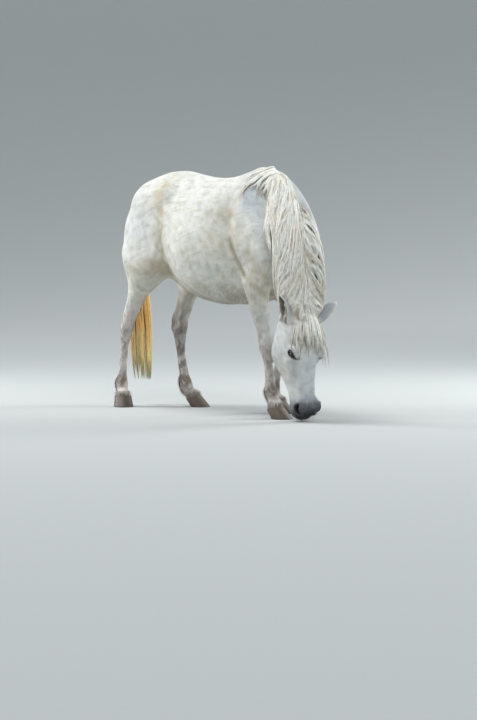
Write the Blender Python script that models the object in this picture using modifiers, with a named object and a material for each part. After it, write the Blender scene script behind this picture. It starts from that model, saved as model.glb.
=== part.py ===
"""A grazing grey pony, life size, as a still museum model.

The pony stands on its four hooves with its head down to the grass, its neck bent a little to
its right.  X runs forward, Y to the pony's left and Z up, in metres, with the floor at Z = 0.

The flesh is made whole: closed lofts for the trunk, neck, head, limbs and dock are melted
together as one distance field, so that each muscle runs into the next.  Thin flat cuts then
part it where a person would name its parts.  Hooves, eyes, ears, mane, forelock and tail hair
are pieces of their own that meet the flesh face to face.
"""

import math

import bmesh
import bpy
import numpy as np
import openvdb
from mathutils import Matrix, Vector
from mathutils.bvhtree import BVHTree

# Driving dimensions
HEAD_LENGTH = 0.565
HEAD_TURN = math.radians(-14)      # the face looks a little to the pony's right
HEAD_TILT = math.radians(6)        # the muzzle is this far ahead of the vertical
NECK_TURN = math.radians(-32)      # the far end of the neck
NECK_TURN_FROM, NECK_TURN_TO = 0.34, 0.66
POLL = Vector((0.862, 0.0, 0.577))  # before the neck is turned
GAP = 0.0004                       # between two pieces that meet
FINE = 0.006                       # spacing of the distance field's grid
BAND = 0.075                       # how far the distance field reaches
RING = 40                          # points round a loft

for old in list(bpy.data.objects):
    bpy.data.objects.remove(old)


def blend(table, count):
    """Smooth rows through a table's rows: cubic pieces whose slope at a row comes from its neighbours."""
    table = np.asarray(table, float)
    key = table[:, 0]
    slope = np.gradient(table, key, axis=0)
    at = np.linspace(key[0], key[-1], count)
    i = np.clip(np.searchsorted(key, at, side="right") - 1, 0, len(key) - 2)
    span = (key[i + 1] - key[i])[:, None]
    t = ((at - key[i])[:, None]) / span
    return (
        (2 * t**3 - 3 * t**2 + 1) * table[i]
        + (t**3 - 2 * t**2 + t) * span * slope[i]
        + (3 * t**2 - 2 * t**3) * table[i + 1]
        + (t**3 - t**2) * span * slope[i + 1]
    )


def oval(power_up, power_down, count=RING):
    """Unit section, as (across, up): a superellipse with a power of its own above and below."""
    angle = np.linspace(0, 2 * math.pi, count, endpoint=False)
    c, s = np.cos(angle), np.sin(angle)
    power = 2 / np.where(s >= 0, power_up, power_down)
    return np.sign(c) * np.abs(c) ** power, np.sign(s) * np.abs(s) ** power


def loft(rings):
    """Points and triangles of a closed tube through rings of points, with a fan over each end."""
    rings = np.asarray(rings, float)
    count, round_ = rings.shape[:2]
    points = np.concatenate([rings.reshape(-1, 3), rings[:1].mean(1), rings[-1:].mean(1)])
    row, col = np.meshgrid(np.arange(count - 1), np.arange(round_), indexing="ij")
    a = (row * round_ + col).ravel()
    b = (row * round_ + (col + 1) % round_).ravel()
    sides = np.concatenate([np.stack([a, b, b + round_], 1), np.stack([a, b + round_, a + round_], 1)])
    k = np.arange(round_)
    first, last = count * round_, count * round_ + 1
    near = np.stack([np.full(round_, first), (k + 1) % round_, k], 1)
    top = (count - 1) * round_
    far = np.stack([np.full(round_, last), top + k, top + (k + 1) % round_], 1)
    return points, np.concatenate([sides, near, far])


def facing_out(points, faces):
    """The same triangles, turned if they enclose a negative volume."""
    p = points[faces]
    volume = np.einsum("ij,ij->i", p[:, 0], np.cross(p[:, 1], p[:, 2])).sum()
    return faces if volume > 0 else faces[:, ::-1]


# ---------------------------------------------------------------- the neck's sideways bend

def turned(points):
    """Bends points ahead of the shoulder round to the right, as the neck does: a point keeps its distance
    along and across a centre line whose direction swings smoothly from straight ahead to NECK_TURN."""
    points = np.array(points, float)
    reach = np.linspace(NECK_TURN_FROM, 1.4, 400)
    t = np.clip((reach - NECK_TURN_FROM) / (NECK_TURN_TO - NECK_TURN_FROM), 0, 1)
    angle = NECK_TURN * t * t * (3 - 2 * t)
    step = reach[1] - reach[0]
    line_x = NECK_TURN_FROM + np.concatenate([[0], np.cumsum(np.cos(angle[:-1]) * step)])
    line_y = np.concatenate([[0], np.cumsum(np.sin(angle[:-1]) * step)])
    x, y = points[..., 0].copy(), points[..., 1].copy()
    ahead = x > NECK_TURN_FROM
    cx, cy = np.interp(x, reach, line_x), np.interp(x, reach, line_y)
    a = np.interp(x, reach, angle)
    points[..., 0] = np.where(ahead, cx - y * np.sin(a), x)
    points[..., 1] = np.where(ahead, cy + y * np.cos(a), y)
    return points


# ---------------------------------------------------------------- trunk

# x, top, bottom, half width, height of the widest place, power of the upper and of the lower half
TRUNK = [
    (-0.738, 1.03, 0.94, 0.03, 0.98, 2.0, 2.0),   # point of the buttock
    (-0.725, 1.10, 0.90, 0.08, 0.98, 2.0, 2.0),
    (-0.690, 1.180, 0.86, 0.135, 0.98, 2.1, 2.0),  # dock
    (-0.610, 1.255, 0.82, 0.190, 1.00, 2.1, 2.0),
    (-0.520, 1.320, 0.79, 0.225, 1.03, 2.2, 2.0),
    (-0.420, 1.360, 0.765, 0.240, 1.06, 2.2, 2.0),  # croup
    (-0.320, 1.366, 0.704, 0.245, 1.06, 2.2, 2.0),  # points of the hips
    (-0.210, 1.345, 0.652, 0.262, 1.00, 2.1, 2.0),  # loin
    (-0.090, 1.322, 0.618, 0.288, 0.95, 2.0, 2.0),
    (0.030, 1.312, 0.602, 0.300, 0.92, 2.0, 2.0),   # lowest place of the back
    (0.140, 1.320, 0.604, 0.290, 0.90, 1.8, 2.1),
    (0.240, 1.346, 0.604, 0.255, 0.89, 1.6, 2.1),   # girth
    (0.320, 1.358, 0.618, 0.225, 0.90, 1.6, 2.1),   # withers
    (0.400, 1.335, 0.645, 0.205, 0.92, 1.6, 2.0),
    (0.480, 1.255, 0.690, 0.192, 0.93, 1.8, 2.0),
    (0.545, 1.140, 0.755, 0.168, 0.94, 2.0, 2.0),   # points of the shoulders
    (0.590, 1.040, 0.835, 0.115, 0.94, 2.0, 2.0),
    (0.608, 0.970, 0.900, 0.040, 0.935, 2.0, 2.0),  # breast
]


def trunk_rings():
    rings = []
    for x, top, bottom, half, wide, up, down in blend(TRUNK, 70):
        across, rise = oval(up, down)
        z = wide + np.where(rise >= 0, (top - wide) * rise, (wide - bottom) * rise)
        rings.append(np.stack([np.full(RING, x), half * across, z], 1))
    return np.array(rings)


# ---------------------------------------------------------------- neck

# share of the neck's length, crest x and z, underline x and z, half width, where it is widest from the
# underline up, power of the crest side and of the underline side
NECK = [
    (0.00, 0.300, 1.330, 0.470, 0.820, 0.175, 0.42, 1.7, 2.0),
    (0.12, 0.430, 1.315, 0.560, 0.835, 0.165, 0.42, 1.7, 2.0),
    (0.27, 0.560, 1.225, 0.592, 0.830, 0.140, 0.42, 1.7, 2.0),
    (0.42, 0.670, 1.110, 0.600, 0.780, 0.118, 0.42, 1.7, 2.0),
    (0.57, 0.748, 0.985, 0.618, 0.730, 0.102, 0.42, 1.7, 2.0),
    (0.72, 0.800, 0.852, 0.634, 0.662, 0.096, 0.44, 1.7, 2.0),
    (0.86, 0.830, 0.722, 0.656, 0.592, 0.090, 0.46, 1.8, 2.0),
    (1.00, 0.846, 0.600, 0.700, 0.520, 0.082, 0.50, 2.0, 2.0),
    (1.12, 0.850, 0.510, 0.740, 0.440, 0.060, 0.50, 2.0, 2.0),  # inside the head
]


def neck_rings():
    rings = []
    for _, cx, cz, ux, uz, half, wide, up, down in blend(NECK, 40):
        across, rise = oval(up, down)
        crest, under = np.array([cx, 0, cz]), np.array([ux, 0, uz])
        middle = under + (crest - under) * wide
        along = np.where(rise >= 0, rise, 0)[:, None] * (crest - middle)
        along = along + np.where(rise < 0, -rise, 0)[:, None] * (under - middle)
        rings.append(middle + along + np.stack([0 * across, half * across, 0 * across], 1))
    return turned(np.array(rings))


# ---------------------------------------------------------------- head

# share of the head's length from the poll, face line, jaw line (ahead of the head's axis, in head
# lengths), then the half widths at the face's edge, the eye, the cheek and the jaw
HEAD = [
    (-0.120, -0.110, -0.200, 0.040, 0.050, 0.050, 0.040),
    (-0.050, -0.040, -0.235, 0.065, 0.095, 0.095, 0.065),
    (0.000, -0.008, -0.265, 0.080, 0.124, 0.124, 0.080),   # poll
    (0.080, 0.030, -0.340, 0.100, 0.150, 0.155, 0.100),
    (0.180, 0.050, -0.400, 0.112, 0.168, 0.170, 0.105),
    (0.280, 0.058, -0.430, 0.116, 0.178, 0.176, 0.105),
    (0.380, 0.056, -0.445, 0.112, 0.176, 0.176, 0.105),    # eyes
    (0.460, 0.048, -0.432, 0.098, 0.162, 0.166, 0.100),    # jaw's angle
    (0.550, 0.038, -0.378, 0.086, 0.136, 0.142, 0.092),
    (0.640, 0.026, -0.318, 0.077, 0.114, 0.120, 0.083),
    (0.750, 0.014, -0.266, 0.076, 0.102, 0.104, 0.072),
    (0.850, 0.006, -0.250, 0.092, 0.122, 0.108, 0.076),    # nostrils
    (0.920, -0.014, -0.238, 0.092, 0.122, 0.104, 0.076),
    (0.970, -0.048, -0.214, 0.070, 0.092, 0.080, 0.058),   # lips
    (1.000, -0.095, -0.175, 0.028, 0.040, 0.036, 0.026),
]
DEPTHS = (0.0, 0.05, 0.30, 0.62, 0.93, 1.0)  # how far back from the face each half width lies


def head_axes():
    """Where the head's frame starts, then its directions: down the face, ahead of it and to its left."""
    poll = Vector(turned(np.array(POLL)))
    ahead = Vector((math.cos(HEAD_TURN), math.sin(HEAD_TURN), 0))
    left = Vector((0, 0, 1)).cross(ahead)
    down = (-Vector((0, 0, 1)) * math.cos(HEAD_TILT) + ahead * math.sin(HEAD_TILT)).normalized()
    front = left.cross(down).normalized()
    if front.dot(ahead) < 0:
        front = -front
    return poll, down, front, left


def at_head(share, front, left):
    """A place on the head, all in head lengths: down from the poll, ahead of the axis and to the left."""
    poll, down, ahead, side = head_axes()
    return poll + (down * share + ahead * front + side * left) * HEAD_LENGTH


def closed_curve(knots, count):
    """A smooth closed line through knots: cubic pieces with the slope at a knot taken from its neighbours."""
    knots = np.asarray(knots, float)
    n = len(knots)
    at = np.linspace(0, n, count, endpoint=False)
    i = at.astype(int)
    t = (at - i)[:, None]
    slope = (np.roll(knots, -1, 0) - np.roll(knots, 1, 0)) / 2
    j = (i + 1) % n
    return (
        (2 * t**3 - 3 * t**2 + 1) * knots[i] + (t**3 - 2 * t**2 + t) * slope[i]
        + (3 * t**2 - 2 * t**3) * knots[j] + (t**3 - t**2) * slope[j]
    )


def head_rings():
    poll, down, ahead, side = (np.array(v) for v in head_axes())
    rings = []
    for share, face, jaw, *half in blend(HEAD, 60):
        width = [0, *half, 0]
        knots = [(face + (jaw - face) * d, w) for d, w in zip(DEPTHS, width)]
        knots += [(k[0], -k[1]) for k in knots[-2:0:-1]]
        curve = closed_curve(knots, RING)
        rings.append(poll + (down * share + ahead * curve[:, :1] + side * curve[:, 1:]) * HEAD_LENGTH)
    return np.array(rings)


# ---------------------------------------------------------------- limbs

# bone (0 is the uppermost), share of it, then how far the limb reaches ahead, behind and to each side
FORELIMB = [
    (0, 0.00, 0.080, 0.100, 0.060),
    (0, 0.50, 0.095, 0.115, 0.070),   # upper arm
    (0, 1.00, 0.088, 0.092, 0.070),   # elbow
    (1, 0.22, 0.072, 0.072, 0.060),
    (1, 0.50, 0.053, 0.055, 0.047),   # forearm
    (1, 0.75, 0.041, 0.043, 0.038),
    (1, 0.92, 0.045, 0.043, 0.042),   # knee
    (2, 0.02, 0.046, 0.045, 0.043),
    (2, 0.16, 0.036, 0.038, 0.035),
    (2, 0.32, 0.027, 0.034, 0.027),   # cannon
    (2, 0.60, 0.025, 0.033, 0.025),
    (2, 0.84, 0.029, 0.038, 0.029),
    (3, 0.00, 0.036, 0.046, 0.037),   # fetlock
    (3, 0.45, 0.032, 0.035, 0.033),   # pastern
    (3, 0.85, 0.040, 0.039, 0.042),
    (3, 1.00, 0.044, 0.041, 0.046),   # coronet
    (3, 1.30, 0.046, 0.044, 0.048),
]
HINDLIMB = [
    (0, 0.00, 0.120, 0.140, 0.090),
    (0, 0.45, 0.140, 0.176, 0.112),   # thigh
    (0, 1.00, 0.165, 0.206, 0.112),   # stifle
    (1, 0.20, 0.112, 0.182, 0.102),
    (1, 0.45, 0.064, 0.090, 0.062),   # gaskin
    (1, 0.72, 0.049, 0.055, 0.045),
    (1, 0.92, 0.047, 0.072, 0.038),   # point of the hock
    (2, 0.04, 0.049, 0.064, 0.039),
    (2, 0.18, 0.037, 0.046, 0.033),
    (2, 0.34, 0.029, 0.036, 0.027),   # cannon
    (2, 0.62, 0.026, 0.033, 0.025),
    (2, 0.86, 0.029, 0.039, 0.029),
    (3, 0.00, 0.037, 0.047, 0.038),   # fetlock
    (3, 0.45, 0.032, 0.035, 0.033),   # pastern
    (3, 0.85, 0.040, 0.038, 0.042),
    (3, 1.00, 0.044, 0.041, 0.046),   # coronet
    (3, 1.30, 0.046, 0.044, 0.048),
]

# joints from the shoulder or hip down to the coronet, then which way the toe points
LIMBS = {
    "fore_right": (FORELIMB, [(0.500, -0.130, 1.02), (0.425, -0.160, 0.735), (0.490, -0.148, 0.385),
                              (0.522, -0.142, 0.140), (0.556, -0.146, 0.074)], math.radians(-6)),
    "fore_left": (FORELIMB, [(0.470, 0.130, 1.02), (0.372, 0.160, 0.735), (0.328, 0.148, 0.385),
                             (0.254, 0.142, 0.140), (0.286, 0.143, 0.074)], math.radians(4)),
    "hind_right": (HINDLIMB, [(-0.490, -0.105, 1.08), (-0.500, -0.138, 0.830), (-0.683, -0.137, 0.480),
                              (-0.742, -0.132, 0.140), (-0.706, -0.156, 0.074)], math.radians(-36)),
    "hind_left": (HINDLIMB, [(-0.450, 0.105, 1.08), (-0.390, 0.138, 0.830), (-0.513, 0.125, 0.475),
                             (-0.466, 0.125, 0.140), (-0.412, 0.133, 0.074)], math.radians(12)),
}


def limb_rings(profile, joints, toe):
    """Rings square to a smooth line through the limb's joints, turning with the toe on the way down."""
    joints = np.array(joints, float)
    joints = np.concatenate([joints, 2 * joints[-1:] - joints[-2:-1]])  # on into the hoof
    keys = np.array([bone + share for bone, share, *_ in profile])
    line = blend(np.column_stack([np.arange(len(joints)), joints]), 401)
    rows = blend(np.column_stack([keys, [row[2:] for row in profile]]), 90)
    rings = []
    for key, front, back, half in rows:
        here = np.array([np.interp(key, line[:, 0], line[:, i]) for i in (1, 2, 3)])
        before = np.array([np.interp(key - 0.12, line[:, 0], line[:, i]) for i in (1, 2, 3)])
        after = np.array([np.interp(key + 0.12, line[:, 0], line[:, i]) for i in (1, 2, 3)])
        tangent = (after - before) / np.linalg.norm(after - before)
        swing = toe * np.clip((key - 1) / 2, 0, 1)
        ahead = np.array([math.cos(swing), math.sin(swing), 0])
        if key > 2.9:  # the pastern's own slope would tip the coronet too far
            level = min(1, (key - 2.9) / 1.1)
            tangent = tangent * (1 - 0.6 * level) + np.array([0, 0, -1]) * 0.6 * level
            tangent /= np.linalg.norm(tangent)
        ahead = ahead - tangent * (ahead @ tangent)
        ahead /= np.linalg.norm(ahead)
        side = np.cross(tangent, ahead)
        across, rise = oval(2.2, 2.2)
        reach = np.where(rise >= 0, front, back) * rise
        rings.append(here + reach[:, None] * ahead + (half * across)[:, None] * side)
    return np.array(rings)


# ---------------------------------------------------------------- muscles and bony points

# name: centre, radii along its own axes, and how its long axis leans back from upright, in degrees
SWELLINGS = {
    "shoulder_blade": ((0.400, 0.138, 1.070), (0.085, 0.055, 0.200), 26),
    "triceps": ((0.350, 0.165, 0.905), (0.095, 0.060, 0.120), 40),
    "point_of_shoulder": ((0.530, 0.130, 0.950), (0.060, 0.055, 0.080), 0),
    "point_of_hip": ((-0.275, 0.185, 1.215), (0.050, 0.040, 0.050), 0),
    "stifle": ((-0.365, 0.165, 0.860), (0.070, 0.060, 0.100), -20),
    "buttock": ((-0.620, 0.100, 1.000), (0.080, 0.078, 0.160), 0),
    "rump": ((-0.450, 0.130, 1.165), (0.165, 0.100, 0.135), 0),
    "barrel": ((0.030, 0.165, 0.890), (0.240, 0.135, 0.210), 0),
}
# the same on the head: share down it, front and left in head lengths, then radii in head lengths
HEAD_SWELLINGS = {
    "orbit": ((0.385, 0.000, 0.128), (0.080, 0.062, 0.046)),
    "cheek": ((0.350, -0.270, 0.105), (0.130, 0.140, 0.080)),
    "nostril": ((0.870, -0.010, 0.080), (0.060, 0.055, 0.045)),
}


def swelling_mesh(centre, radii, lean, side):
    """An ellipsoid's points and triangles, leaning back by lean degrees, on the side given by its sign."""
    bm = bmesh.new()
    bmesh.ops.create_uvsphere(bm, u_segments=24, v_segments=16, radius=1)
    bmesh.ops.triangulate(bm, faces=bm.faces)
    turn = Matrix.Rotation(math.radians(-lean), 4, "Y")
    place = Matrix.Translation((centre[0], side * centre[1], centre[2])) @ turn @ Matrix.Diagonal((*radii, 1))
    bm.transform(place)
    points = np.array([v.co for v in bm.verts])
    faces = np.array([[v.index for v in f.verts] for f in bm.faces])
    bm.free()
    return points, faces


def head_swelling_mesh(place, radii, side):
    """An ellipsoid's points and triangles in the head's own frame, on the side given by its sign."""
    bm = bmesh.new()
    bmesh.ops.create_uvsphere(bm, u_segments=20, v_segments=12, radius=1)
    bmesh.ops.triangulate(bm, faces=bm.faces)
    unit = np.array([v.co for v in bm.verts]) * radii
    faces = np.array([[v.index for v in f.verts] for f in bm.faces])
    bm.free()
    poll, down, ahead, left = (np.array(v) for v in head_axes())
    local = unit + np.array([place[0], place[1], side * place[2]])
    return poll + (local[:, :1] * down + local[:, 1:2] * ahead + local[:, 2:] * left) * HEAD_LENGTH, faces


# ---------------------------------------------------------------- melting the forms together

def distance_grid(points, faces, spacing):
    """The signed distance to a closed mesh on a grid, negative inside, with the grid index of its corner."""
    transform = openvdb.createLinearTransform(voxelSize=spacing)
    grid = openvdb.FloatGrid.createLevelSetFromPolygons(
        points.astype(np.float32), triangles=facing_out(points, faces).astype(np.uint32),
        transform=transform, halfWidth=BAND / spacing,
    )
    low, high = grid.evalActiveVoxelBoundingBox()
    field = np.empty([high[i] - low[i] + 1 for i in range(3)], np.float32)
    grid.copyToArray(field, ijk=low)
    return field, np.array(low)


def melt(forms, spacing):
    """One closed surface over all forms. Where two are within their reach of each other, the distance is
    the smaller one less a quarter of the reach times the square of how nearly equal they are."""
    margin = int(BAND / spacing) + 3
    everything = np.concatenate([points for points, _, _ in forms])
    low = np.floor(everything.min(0) / spacing).astype(int) - margin
    high = np.ceil(everything.max(0) / spacing).astype(int) + margin
    field = np.full(high - low + 1, BAND, np.float32)
    for points, faces, reach in forms:
        part, corner = distance_grid(points, faces, spacing)
        at = tuple(slice(c - l, c - l + n) for c, l, n in zip(corner, low, part.shape))
        here = field[at]
        near = np.maximum(reach - np.abs(here - part), 0) / reach
        field[at] = np.minimum(here, part) - near * near * reach / 4
    whole = openvdb.FloatGrid(BAND)
    whole.transform = openvdb.createLinearTransform(voxelSize=spacing)
    whole.copyFromArray(field, ijk=tuple(int(v) for v in low))
    points, quads = whole.convertToQuads(0.0)
    return points, quads


def flesh_forms():
    forms = [(*loft(trunk_rings()), 0.03)]
    for name, (centre, radii, lean) in SWELLINGS.items():
        for side in (-1, 1):
            forms.append((*swelling_mesh(centre, radii, lean, side), 0.06))
    forms.append((*loft(neck_rings()), 0.06))
    for profile, joints, toe in LIMBS.values():
        forms.append((*loft(limb_rings(profile, joints, toe)), 0.05))
    forms.append((*loft(head_rings()), 0.035))
    for place, radii in HEAD_SWELLINGS.values():
        for side in (-1, 1):
            forms.append((*head_swelling_mesh(place, radii, side), 0.03))
    return forms


# ---------------------------------------------------------------- objects

def colour(red, green, blue):
    """A screen colour from 0 to 255 as the linear one that a material holds."""
    c = np.array([red, green, blue]) / 255
    return (*np.where(c <= 0.04045, c / 12.92, ((c + 0.055) / 1.055) ** 2.4), 1)


def material(name, shade, rough):
    made = bpy.data.materials.new(name)
    made.use_nodes = True
    shader = made.node_tree.nodes["Principled BSDF"]
    shader.inputs["Base Color"].default_value = colour(*shade)
    shader.inputs["Roughness"].default_value = rough
    shader.inputs["Metallic"].default_value = 0.0
    return made


def collection(name):
    made = bpy.data.collections.new(name)
    bpy.context.scene.collection.children.link(made)
    return made


def mesh_object(name, points, faces, group, look=None):
    mesh = bpy.data.meshes.new(name)
    mesh.from_pydata(np.asarray(points).tolist(), [], np.asarray(faces).tolist())
    mesh.update()
    made = bpy.data.objects.new(name, mesh)
    group.objects.link(made)
    if look:
        mesh.materials.append(look)
    return made


def settle(obj):
    """Turns an object's modifiers into plain mesh."""
    mesh = bpy.data.meshes.new_from_object(obj.evaluated_get(bpy.context.evaluated_depsgraph_get()))
    obj.modifiers.clear()
    old = obj.data
    obj.data = mesh
    bpy.data.meshes.remove(old)
    return obj


def thin_out(obj, triangles):
    """Collapses edges until about so many triangles are left."""
    have = sum(len(p.vertices) - 2 for p in obj.data.polygons)
    modifier = obj.modifiers.new("thin", "DECIMATE")
    modifier.ratio = min(1, triangles / have)
    modifier.use_collapse_triangulate = True
    return settle(obj)


def swollen(obj, amount, group):
    """A copy of an object, larger by the amount all round, to cut a neighbour with."""
    made = bpy.data.objects.new(obj.name + "_cutter", obj.data.copy())
    made.matrix_world = obj.matrix_world
    group.objects.link(made)
    normals = np.array([v.normal for v in made.data.vertices])
    points = np.array([v.co for v in made.data.vertices]) + normals * amount
    made.data.vertices.foreach_set("co", points.ravel())
    made.data.update()
    made.hide_render = True
    made.display_type = "WIRE"
    return made


def cut(obj, tool, how):
    modifier = obj.modifiers.new(how.lower(), "BOOLEAN")
    modifier.operation = how
    modifier.object = tool
    modifier.solver = "EXACT"
    return settle(obj)


def block(centre, size, turn, group):
    """A box to part the flesh with: sizes along its own axes, turned by a rotation matrix."""
    bm = bmesh.new()
    bmesh.ops.create_cube(bm, size=1)
    bm.transform(Matrix.Translation(centre) @ turn.to_4x4() @ Matrix.Diagonal((*size, 1)))
    mesh = bpy.data.meshes.new("block")
    bm.to_mesh(mesh)
    bm.free()
    made = bpy.data.objects.new("block", mesh)
    group.objects.link(made)
    made.hide_render = True
    made.display_type = "WIRE"
    return made


def pieces_of(obj):
    """The separate closed bodies of a mesh, largest first; the first one keeps the object."""
    bm = bmesh.new()
    bm.from_mesh(obj.data)
    left, bodies = set(bm.verts), []
    while left:
        body, edge = set(), [next(iter(left))]
        while edge:
            vert = edge.pop()
            if vert not in body:
                body.add(vert)
                edge.extend(e.other_vert(vert) for e in vert.link_edges)
        bodies.append({v.index for v in body})
        left -= body
    bm.free()
    bodies.sort(key=len, reverse=True)
    made = []
    for number, body in enumerate(bodies):
        bm = bmesh.new()
        bm.from_mesh(obj.data)
        bmesh.ops.delete(bm, geom=[v for v in bm.verts if v.index not in body], context="VERTS")
        mesh = bpy.data.meshes.new(obj.name)
        bm.to_mesh(mesh)
        bm.free()
        made.append((number, mesh))
    old = obj.data
    obj.data = made[0][1]
    bpy.data.meshes.remove(old)
    return [obj] + [bpy.data.objects.new(obj.name, mesh) for _, mesh in made[1:]]


def keep_largest(obj):
    """Drops crumbs that a cut may leave beside the main body."""
    for crumb in pieces_of(obj)[1:]:
        bpy.data.objects.remove(crumb)
    return obj


def slice_off(rest, name, centre, size, turn, look):
    """Parts what lies under a slab of air GAP thick, cut right through, from the rest above it."""
    tool = block(centre, (*size, GAP), turn, cutters)
    cut(rest, tool, "DIFFERENCE")
    bpy.data.objects.remove(tool)
    one, other, *crumbs = pieces_of(rest)
    for crumb in crumbs:
        bpy.data.objects.remove(crumb)
    upward = turn @ Vector((0, 0, 1))
    height = [np.mean([v.co @ upward for v in half.data.vertices]) for half in (one, other)]
    if height[0] < height[1]:
        one.data, other.data = other.data, one.data
    return named(other, name, look)


def named(piece, name, look):
    piece.name = name
    piece.data.name = name
    pony.objects.link(piece)
    piece.data.materials.clear()
    piece.data.materials.append(look)
    return piece


def part_off(rest, name, low, high, look):
    """Takes what lies between two corners out of the rest, with a gap left between them."""
    low, high = Vector(low), Vector(high)
    tool = block((low + high) / 2, high - low, Matrix.Identity(3), cutters)
    wider = block((low + high) / 2, high - low + Vector((2, 2, 2)) * GAP, Matrix.Identity(3), cutters)
    piece = bpy.data.objects.new(name, rest.data.copy())
    named(piece, name, look)
    keep_largest(cut(piece, tool, "INTERSECT"))
    keep_largest(cut(rest, wider, "DIFFERENCE"))
    bpy.data.objects.remove(tool)
    bpy.data.objects.remove(wider)
    return piece


# ---------------------------------------------------------------- hooves

HOOF_LENGTH, HOOF_WIDTH = 0.124, 0.114   # on the ground
HOOF_TOE, HOOF_HEEL = 0.078, 0.042       # height in front and behind
HOOF_ANGLE = math.radians(50)            # the toe's slope
HOOF_TOP = 0.78                          # the coronet's width as a share of the ground's
HOOF_LEAN = 1 / math.tan(HOOF_ANGLE)
HOOF_MIDDLE = (HOOF_TOE + HOOF_HEEL) / 2
CORONET_TILT = math.atan2(HOOF_TOE - HOOF_HEEL, HOOF_LENGTH - HOOF_LEAN * (HOOF_TOE - HOOF_HEEL))


def coronet_plane(coronet, toe):
    """The middle of a hoof's top and the matrix that turns level ground to lie along that top."""
    turn = Matrix.Rotation(toe, 3, "Z") @ Matrix.Rotation(-CORONET_TILT, 3, "Y")
    return Vector((coronet[0], coronet[1], HOOF_MIDDLE)), turn


def hoof(name, coronet, toe):
    """A leaning cone's slice: flat below, its top sloping down to the heel, its walls all leaning back."""
    bm = bmesh.new()
    bmesh.ops.create_cone(bm, cap_ends=True, segments=16, radius1=0.5, radius2=0.5, depth=1)
    for vert in bm.verts:
        x, y = vert.co.x, vert.co.y
        width = HOOF_WIDTH * (1 - 0.24 * max(0, -x))  # narrower at the heel
        height = 0 if vert.co.z < 0 else HOOF_MIDDLE + x * (HOOF_TOE - HOOF_HEEL)
        width *= 1 if vert.co.z < 0 else HOOF_TOP
        vert.co = (x * HOOF_LENGTH + HOOF_LEAN * (HOOF_MIDDLE - height), y * width, height)
    bm.transform(Matrix.Translation((coronet[0], coronet[1], 0)) @ Matrix.Rotation(toe, 4, "Z"))
    mesh = bpy.data.meshes.new(name)
    bm.to_mesh(mesh)
    bm.free()
    made = bpy.data.objects.new(name, mesh)
    pony.objects.link(made)
    mesh.materials.append(looks["hoof"])
    edge = made.modifiers.new("rim", "BEVEL")
    edge.width = 0.003
    edge.segments = 1
    edge.limit_method = "ANGLE"
    edge.angle_limit = math.radians(40)
    return settle(made)


# ---------------------------------------------------------------- eyes and ears

EYE_PLACE = (0.400, 0.000, 0.142)  # down the face, ahead and aside, in head lengths
EYE_RADIUS = 0.0195


def eye(name, side):
    bm = bmesh.new()
    bmesh.ops.create_uvsphere(bm, u_segments=12, v_segments=8, radius=EYE_RADIUS)
    bm.transform(Matrix.Translation(at_head(EYE_PLACE[0], EYE_PLACE[1], side * EYE_PLACE[2])))
    mesh = bpy.data.meshes.new(name)
    bm.to_mesh(mesh)
    bm.free()
    made = bpy.data.objects.new(name, mesh)
    pony.objects.link(made)
    mesh.materials.append(looks["eye"])
    return made


EAR_LENGTH, EAR_WIDTH, EAR_WALL = 0.155, 0.064, 0.005
# where an ear is rooted on the head, which way it points and which way it opens
EARS = {
    -1: ((0.085, -0.055, -0.125), (-0.34, -0.22, 0.92), (-0.45, -0.90, -0.10)),
    1: ((0.085, -0.055, 0.130), (0.12, 0.68, 0.72), (-0.30, 0.75, -0.60)),
}


def ear_shell(side):
    """A cupped leaf: at each height an arc of a circle, closed to a tube below and opening upward,
    widest at two fifths of its length and drawn in to a point whose tip leans over the opening."""
    root, point, open_ = EARS[side]
    base = at_head(*root)
    up = Vector(point).normalized()
    mouth = Vector(open_)
    mouth = (mouth - up * mouth.dot(up)).normalized()
    aside = up.cross(mouth)
    share, turn = np.meshgrid(np.linspace(-0.12, 1, 9), np.linspace(-1, 1, 9), indexing="ij")
    s = np.clip(share, 0, 1)
    width = EAR_WIDTH / 2 * (0.62 + 0.95 * s) * np.sqrt(np.clip(1 - s**2.6, 0, 1)) + 0.006
    arc = np.radians(150 - 62 * np.clip(s * 1.6, 0, 1)) * turn
    depth = 0.75 * width
    lean = 0.018 * s**2
    place = (
        np.array(base)
        + (share * EAR_LENGTH)[..., None] * np.array(up)
        + (width * np.sin(arc))[..., None] * np.array(aside)
        + (lean - depth * (np.cos(arc) - 0.3))[..., None] * np.array(mouth)
    )
    return place


def ear(name, side):
    place = ear_shell(side)
    rows, columns = place.shape[:2]
    i, j = np.meshgrid(np.arange(rows - 1), np.arange(columns - 1), indexing="ij")
    a = (i * columns + j).ravel()
    faces = np.stack([a, a + 1, a + columns + 1, a + columns], 1)
    made = mesh_object(name, place.reshape(-1, 3), faces, pony, looks["ear"])
    wall = made.modifiers.new("wall", "SOLIDIFY")
    wall.thickness = EAR_WALL
    wall.offset = 0
    return settle(made)


# ---------------------------------------------------------------- long hair

def lock(path, outward, half_width, half_depth):
    """A closed flattened tube along a path: half_width along the surface, half_depth outward from it,
    both thinning to a rounded root and a point at the tip."""
    path, outward = np.asarray(path, float), np.asarray(outward, float)
    along = np.gradient(path, axis=0)
    along /= np.linalg.norm(along, axis=1)[:, None]
    outward = outward - along * np.einsum("ij,ij->i", outward, along)[:, None]
    outward /= np.linalg.norm(outward, axis=1)[:, None]
    across = np.cross(along, outward)
    s = np.linspace(0, 1, len(path))
    taper = np.minimum(1, np.sqrt(np.clip(s / 0.12, 0.05, 1))) * np.sqrt(np.clip(1 - s**3, 0.01, 1))
    angle = np.linspace(0, 2 * math.pi, 12, endpoint=False)
    wide = (half_width * taper)[:, None, None] * np.cos(angle)[None, :, None] * across[:, None]
    deep = (half_depth * taper)[:, None, None] * np.sin(angle)[None, :, None] * outward[:, None]
    return loft(path[:, None] + wide + deep)


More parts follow.
